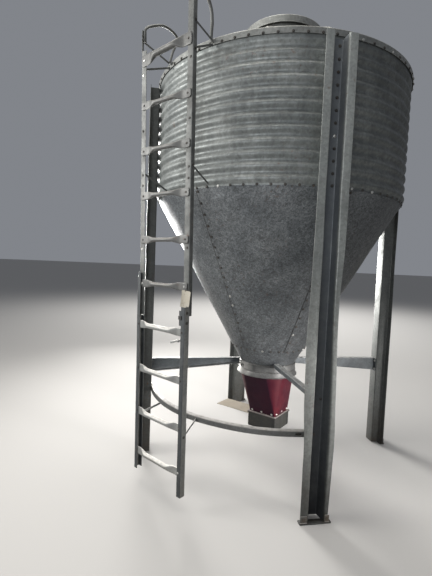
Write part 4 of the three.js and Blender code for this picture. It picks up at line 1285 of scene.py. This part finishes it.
def ladder():
    names = {-1: "left", 1: "right"}
    stud_set = Bolts(0.12)
    out_up, out_lo = direction(upper, (1, 0, 0)), direction(lower, (1, 0, 0))
    for side in (-1, 1):
        nm = names[side]
        z0, z1 = {-1: (1230, 2992), 1: (1262, 3240)}[side]
        b = Build()
        b.add(*post(upper, side, UP_HALF, 44, 32, z0, z1, seed=side * 3.0))
        sx = UP["x"] + side * (UP_HALF + 44)
        if side < 0:
            # narrow strip above the top rung
            b.add(*block(-14, -0.3, -UP_HALF - 43.8, -UP_HALF - 40.6, 2985, 3130, upper))
        struts = ((3062, 3028, 1038, -6), (2881, 2999, 1038, -10)) if side < 0 else ((3062, 3020, 1038, -10), (2897, 2999, 1038, -10))
        for zs, ze, rr, xs in (*struts, (2208, 2124, 1030, -10)):
            wx, _, wz = in_upper(sx, -math.sqrt(rr * rr - sx * sx), ze)
            b.add(*strap(upper, xs, zs, wx + 3, wz, 14, side * (UP_HALF + 44 - (2.0 if xs == -6 else 4.8))))
            stud_set.put(upper(-18, side * (UP_HALF + 45), zs), Vector(direction(upper, (0, side, 0))), r=5.6, h=5)
        b.piece(f"ladder_post_{nm}", LADDER, "ladder_steel", replaces=[f"ladder_upper_stile_{nm}"], sharp=36)

        hr = 9 if side < 0 else 11
        hx = sx - side * (4.5 + hr)
        foot = -math.sqrt((1033 + hr) ** 2 - hx * hx)
        path = ([(-1218, 3054), (-1220, 3100), (-1219, 3136), (-1197, 3163), (-1160, 3189), (-1118, 3214),
                 (-1076, 3236), (-1031, 3249), (-990, 3252), (-946, 3247), (-915, 3234), (-905, 3212), (-918, 3184),
                 (-938, 3145), (-953, 3112), (-967, 3070), (foot - 2, 3040), (foot - 2, 3012)]
                if side < 0 else
                [(-1216, 3100), (-1218, 3170), (-1218, 3225), (-1205, 3270), (-1170, 3296), (-1125, 3288), (-1082, 3250),
                 (-1052, 3205), (-1040, 3140), (foot - 1, 3080), (foot - 2, 3045), (foot - 2, 3012)])
        pts = spline([in_upper(hx, y, z) for y, z in path], 7)
        h = Build()
        # round bar with flattened ends
        n = len(pts)
        rings = []
        up = Vector((0, 1, 0))
        for i, p in enumerate(pts):
            d = (pts[min(i + 1, n - 1)] - pts[max(i - 1, 0)]).normalized()
            u = (up - d * up.dot(d)).normalized()
            s = d.cross(u)
            e = max(0.0, 1 - min(i, n - 1 - i) / 7)
            ru, rs = hr * (1 + 0.5 * e), hr * (1 - 0.62 * e)
            if i < n / 2:
                ru, rs = rs, ru
            rings.append([upper(*(p + u * (ru * math.cos(2 * math.pi * j / 18)) + s * (rs * math.sin(2 * math.pi * j / 18))))
                          for j in range(18)])
        h.add(*loft(rings))
        h.piece(f"grab_hoop_{nm}", LADDER, "ladder_steel", replaces=[f"ladder_hoop_{nm}"], sharp=50)

        # lower section
        b = Build()
        z0, z1 = {-1: (120, 1222), 1: (95, 1325)}[side]
        b.add(*post(lower, side, LO_HALF, 33, 44, z0, z1, back=True, seed=side * 7.0))
        yo = side * (LO_HALF + 33 - 1.8)
        if side < 0:
            b.add(*post(lower, side, LO_HALF, 33, 38, 1218, 1525, seed=side * 7.0))
            stay = strap(lower, -20, 503, -228, 532, 17, yo - side * 3.2)
        else:
            stay = strap(lower, -20, 492, -212, 530, 17, yo - side * 3.2, aside=78)
            inner = LO_HALF - 20
            b.add(*block(-8.5, -3.6, inner, LO_HALF + 26, 1205, 1300, lower))
            b.add(*block(-52.6, -3.6, inner, inner + 4.6, 1205, 1300, lower))
        b.piece(f"ladder_foot_{nm}", LADDER_LOW, "ladder_steel", replaces=[f"ladder_lower_stile_{nm}"], sharp=36)
        b = Build()
        b.add(*stay)
        b.piece(f"stand_off_{nm}", RUNG_LOW, "ladder_steel", sharp=40)
        if side > 0:
            # dark buffer block on the joint plate
            b = Build()
            b.add(*block(-2.5, 5.5, LO_HALF - 19, LO_HALF + 7, 1245, 1268, lower))
            b.piece("joint_block", GASKET, "dark_steel", sharp=40, bevel=1.5)
        for z in (503, 1180) if side < 0 else (492, 1225, 1288):
            stud_set.put(lower(-20, side * (LO_HALF + 34), z), direction(lower, (0, side, 0)), r=5.6, h=5)

    # bolts on the faces
    for z in (1690, 2120, 2190, 2480, 2840):
        for side in (-1, 1):
            stud_set.put(upper(0, side * (UP_HALF + 24), z + 6 * side), out_up, r=5.4, h=4.6, washer=8)
    for z in (3068, 3092):
        stud_set.put(upper(-7, -UP_HALF - 40.6, z), direction(upper, (0, 1, 0)), bright=False, r=4.6, h=4)
    stud_set.done("bolts_ladder")

    # rungs: tube pressed flat at both ends
    shift = [0, -9, 0, 9, -7, -8, -15, -19, -21, -18]
    rung_bolts = Bolts(0.1)
    for k in range(10):
        low, last = k < 4, k == 9
        place = lower if low else upper
        half = LO_HALF if low else UP_HALF
        r, h = (17 if low else 19 if last else 14), (37 if last else 26.5)
        xe = -7.4 if low else 3.9
        xt = r - 10 if low else 0.4 + r
        end = half + (28.5 if low else 34)
        z = 256 + 300 * k + shift[k]
        tilt = rad(4.4) if last else 0.0
        rings = []
        sag = rnd.uniform(-2.0, 2.5)
        m = 52
        for i in range(m + 1):
            # closer rings near the ends
            y = -end + 2 * end * (0.5 - 0.5 * math.cos(math.pi * i / m))
            e = max(0.0, min(1.0, (abs(y) - (half - 104)) / 78))
            e = e * e * (3 - 2 * e)
            rx, rz = r + (3.4 - r) * e, r + (h - r) * e
            tip = max(0.0, (abs(y) - (end - 9)) / 9)
            rz *= 1 - 0.32 * tip * tip
            bow = sag * (1 - (y / end) ** 2)
            q = 2 / (2 + 3.0 * e)
            ring = []
            for j in range(24):
                u = 2 * math.pi * j / 24
                c, sn = math.cos(u), math.sin(u)
                yy, zz = y, math.copysign(abs(sn) ** q, sn) * rz - bow
                if tilt:
                    yy, zz = y * math.cos(tilt) - zz * math.sin(tilt), y * math.sin(tilt) + zz * math.cos(tilt)
                ring.append(place(xt + (xe - xt) * e + math.copysign(abs(c) ** q, c) * rx, yy, z + zz))
            rings.append(ring)
        b = Build()
        b.add(*loft(rings))
        b.piece(f"step_{k + 1}", RUNG_LOW if low else RUNG, "rung_steel", replaces=[f"rung_{k + 1}"], sharp=50)
        for side in (-1, 1):
            yy, zz = side * (half + 10), 0.0
            if tilt:
                yy, zz = yy * math.cos(tilt), yy * math.sin(tilt)
            rung_bolts.put(place(0.4 if low else 7.2, yy, z + zz), out_lo if low else out_up, r=4.8, h=4.2, washer=7.2)
    rung_bolts.done("bolts_rungs")

    # short clip bar on the right lower post, with its bolt
    b = Build()
    place = lower
    rings = []
    for i in range(9):
        y = 108 + (212 - 108) * i / 8
        z = 1080 + 0.30 * (y - 108)
        rings.append([place(-16, y, z - 1), place(-6.6, y, z - 2), place(-6.6, y, z + 12), place(-16, y, z + 13)])
    b.add(*loft(rings))
    stud(b, place(-6.4, 184, 1108), out_lo, r=8, h=7, washer=11)
    b.piece("ladder_clip", RUNG_LOW, "bright_steel", sharp=40, bevel=0.6)

    # blank tag tied to the right post
    b = Build()
    w, h, n = 37, 55, 8
    c0 = Vector((8.5, 210, 1371))
    rings = []
    grid = []
    tilt = rad(-6)

    def corner(u, v, layer):
        # rounded corners
        x, y = u * w, v * h
        yy = x * math.cos(tilt) - y * math.sin(tilt)
        zz = x * math.sin(tilt) + y * math.cos(tilt)
        curl = 4.5 * u * u + 3.0 * v * v * (v < 0) + 1.6 * math.sin(2.2 * u + 1.4 * v)
        return upper(c0.x + curl + layer * 1.0, c0.y + yy, c0.z + zz)
    nu, nv = 12, 16
    verts, faces = [], []
    for layer in (0, 1):
        for j in range(nv + 1):
            for i in range(nu + 1):
                u, v = -1 + 2 * i / nu, -1 + 2 * j / nv
                if abs(u) == 1 and abs(v) == 1:
                    u, v = u * 0.94, v * 0.96
                verts.append(corner(u, v, layer))
    row = nu + 1
    base = row * (nv + 1)
    for j in range(nv):
        for i in range(nu):
            q = (j * row + i, j * row + i + 1, (j + 1) * row + i + 1, (j + 1) * row + i)
            faces.append(q)
            faces.append(tuple(base + k for k in reversed(q)))
    rim = ([i for i in range(nu)] + [j * row + nu for j in range(nv)] + [nv * row + i for i in range(nu, 0, -1)]
           + [j * row for j in range(nv, 0, -1)])
    for a, c in zip(rim, rim[1:] + rim[:1]):
        faces.append((a, c, base + c, base + a))
    b.add(verts, faces)
    b.piece("blank_tag", TAG, "gate_plate", sharp=60)
    b = Build()
    tie = spline([(10, 206, 1419), (13, 208, 1429), (10, 211, 1439), (3, 215, 1443), (-3.4, 222, 1444), (-6, 228, 1439), (-2, 229, 1431)], 6)
    b.add(*rod([upper(*p) for p in tie], 1.3, 8))
    b.piece("tag_tie", BOLT_DARK, "dark_steel", sharp=60)


ladder()


# ------------------------------------------------------- floor and lighting
def stage():
    me = bpy.data.meshes.new("floor")
    s = 200
    me.from_pydata([(-s, -s, -0.001), (s, -s, -0.001), (s, s, -0.001), (-s, s, -0.001)], [], [(0, 1, 2, 3)])
    ob = bpy.data.objects.new("floor", me)
    bpy.context.scene.collection.objects.link(ob)
    m = bpy.data.materials.new("floor")
    m.use_nodes = True
    s = m.node_tree.nodes["Principled BSDF"]
    s.inputs["Base Color"].default_value = (0.42, 0.41, 0.395, 1)
    s.inputs["Roughness"].default_value = 0.9
    me.materials.append(m)
    ob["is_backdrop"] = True

    world = bpy.data.worlds.new("studio")
    world.use_nodes = True
    bg = world.node_tree.nodes["Background"]
    bg.inputs[0].default_value = (0.78, 0.82, 0.90, 1)
    bg.inputs[1].default_value = 0.285
    bpy.context.scene.world = world

    def area(name, at, target, size, power, color=(1, 1, 1), spread=180):
        l = bpy.data.lights.new(name, 'AREA')
        l.shape = 'SQUARE'
        l.size = size
        l.energy = power
        l.color = color
        l.spread = rad(spread)
        o = bpy.data.objects.new(name, l)
        bpy.context.scene.collection.objects.link(o)
        o.location = at
        o.visible_camera = False
        o.rotation_euler = (Vector(target) - Vector(at)).to_track_quat('-Z', 'Y').to_euler()
    area("key", (-4.6, -4.6, 3.6), (0, 0.1, 2.5), 3.0, 150, (1.0, 0.985, 0.955), 90)
    area("rim", (-5.2, 3.0, 2.3), (0, 0.1, 2.3), 2.6, 270, (1.0, 0.985, 0.96), 80)
    area("top", (-0.6, -0.8, 7.2), (-0.2, -0.2, 2.0), 4.0, 370, (1.0, 0.965, 0.91))
    area("low", (3.1, -0.2, 0.75), (0, 0, 0.5), 0.8, 13, (1.0, 0.97, 0.95), 38)
    area("fill", (1.7, -6.0, 2.3), (0.35, -0.3, 1.9), 2.4, 36, (0.95, 0.97, 1.0), 100)
    area("back", (-4.5, 8.0, 6.0), (-4.5, 8.0, 0), 9.0, 560, (1.0, 0.99, 0.97), 120)


stage()
bpy.context.scene.view_settings.view_transform = 'Standard'

visual_box = [list(c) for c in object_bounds()]
{"cad": [list(map(float, c)) for c in cad_box], "visual": [list(map(float, c)) for c in visual_box]}
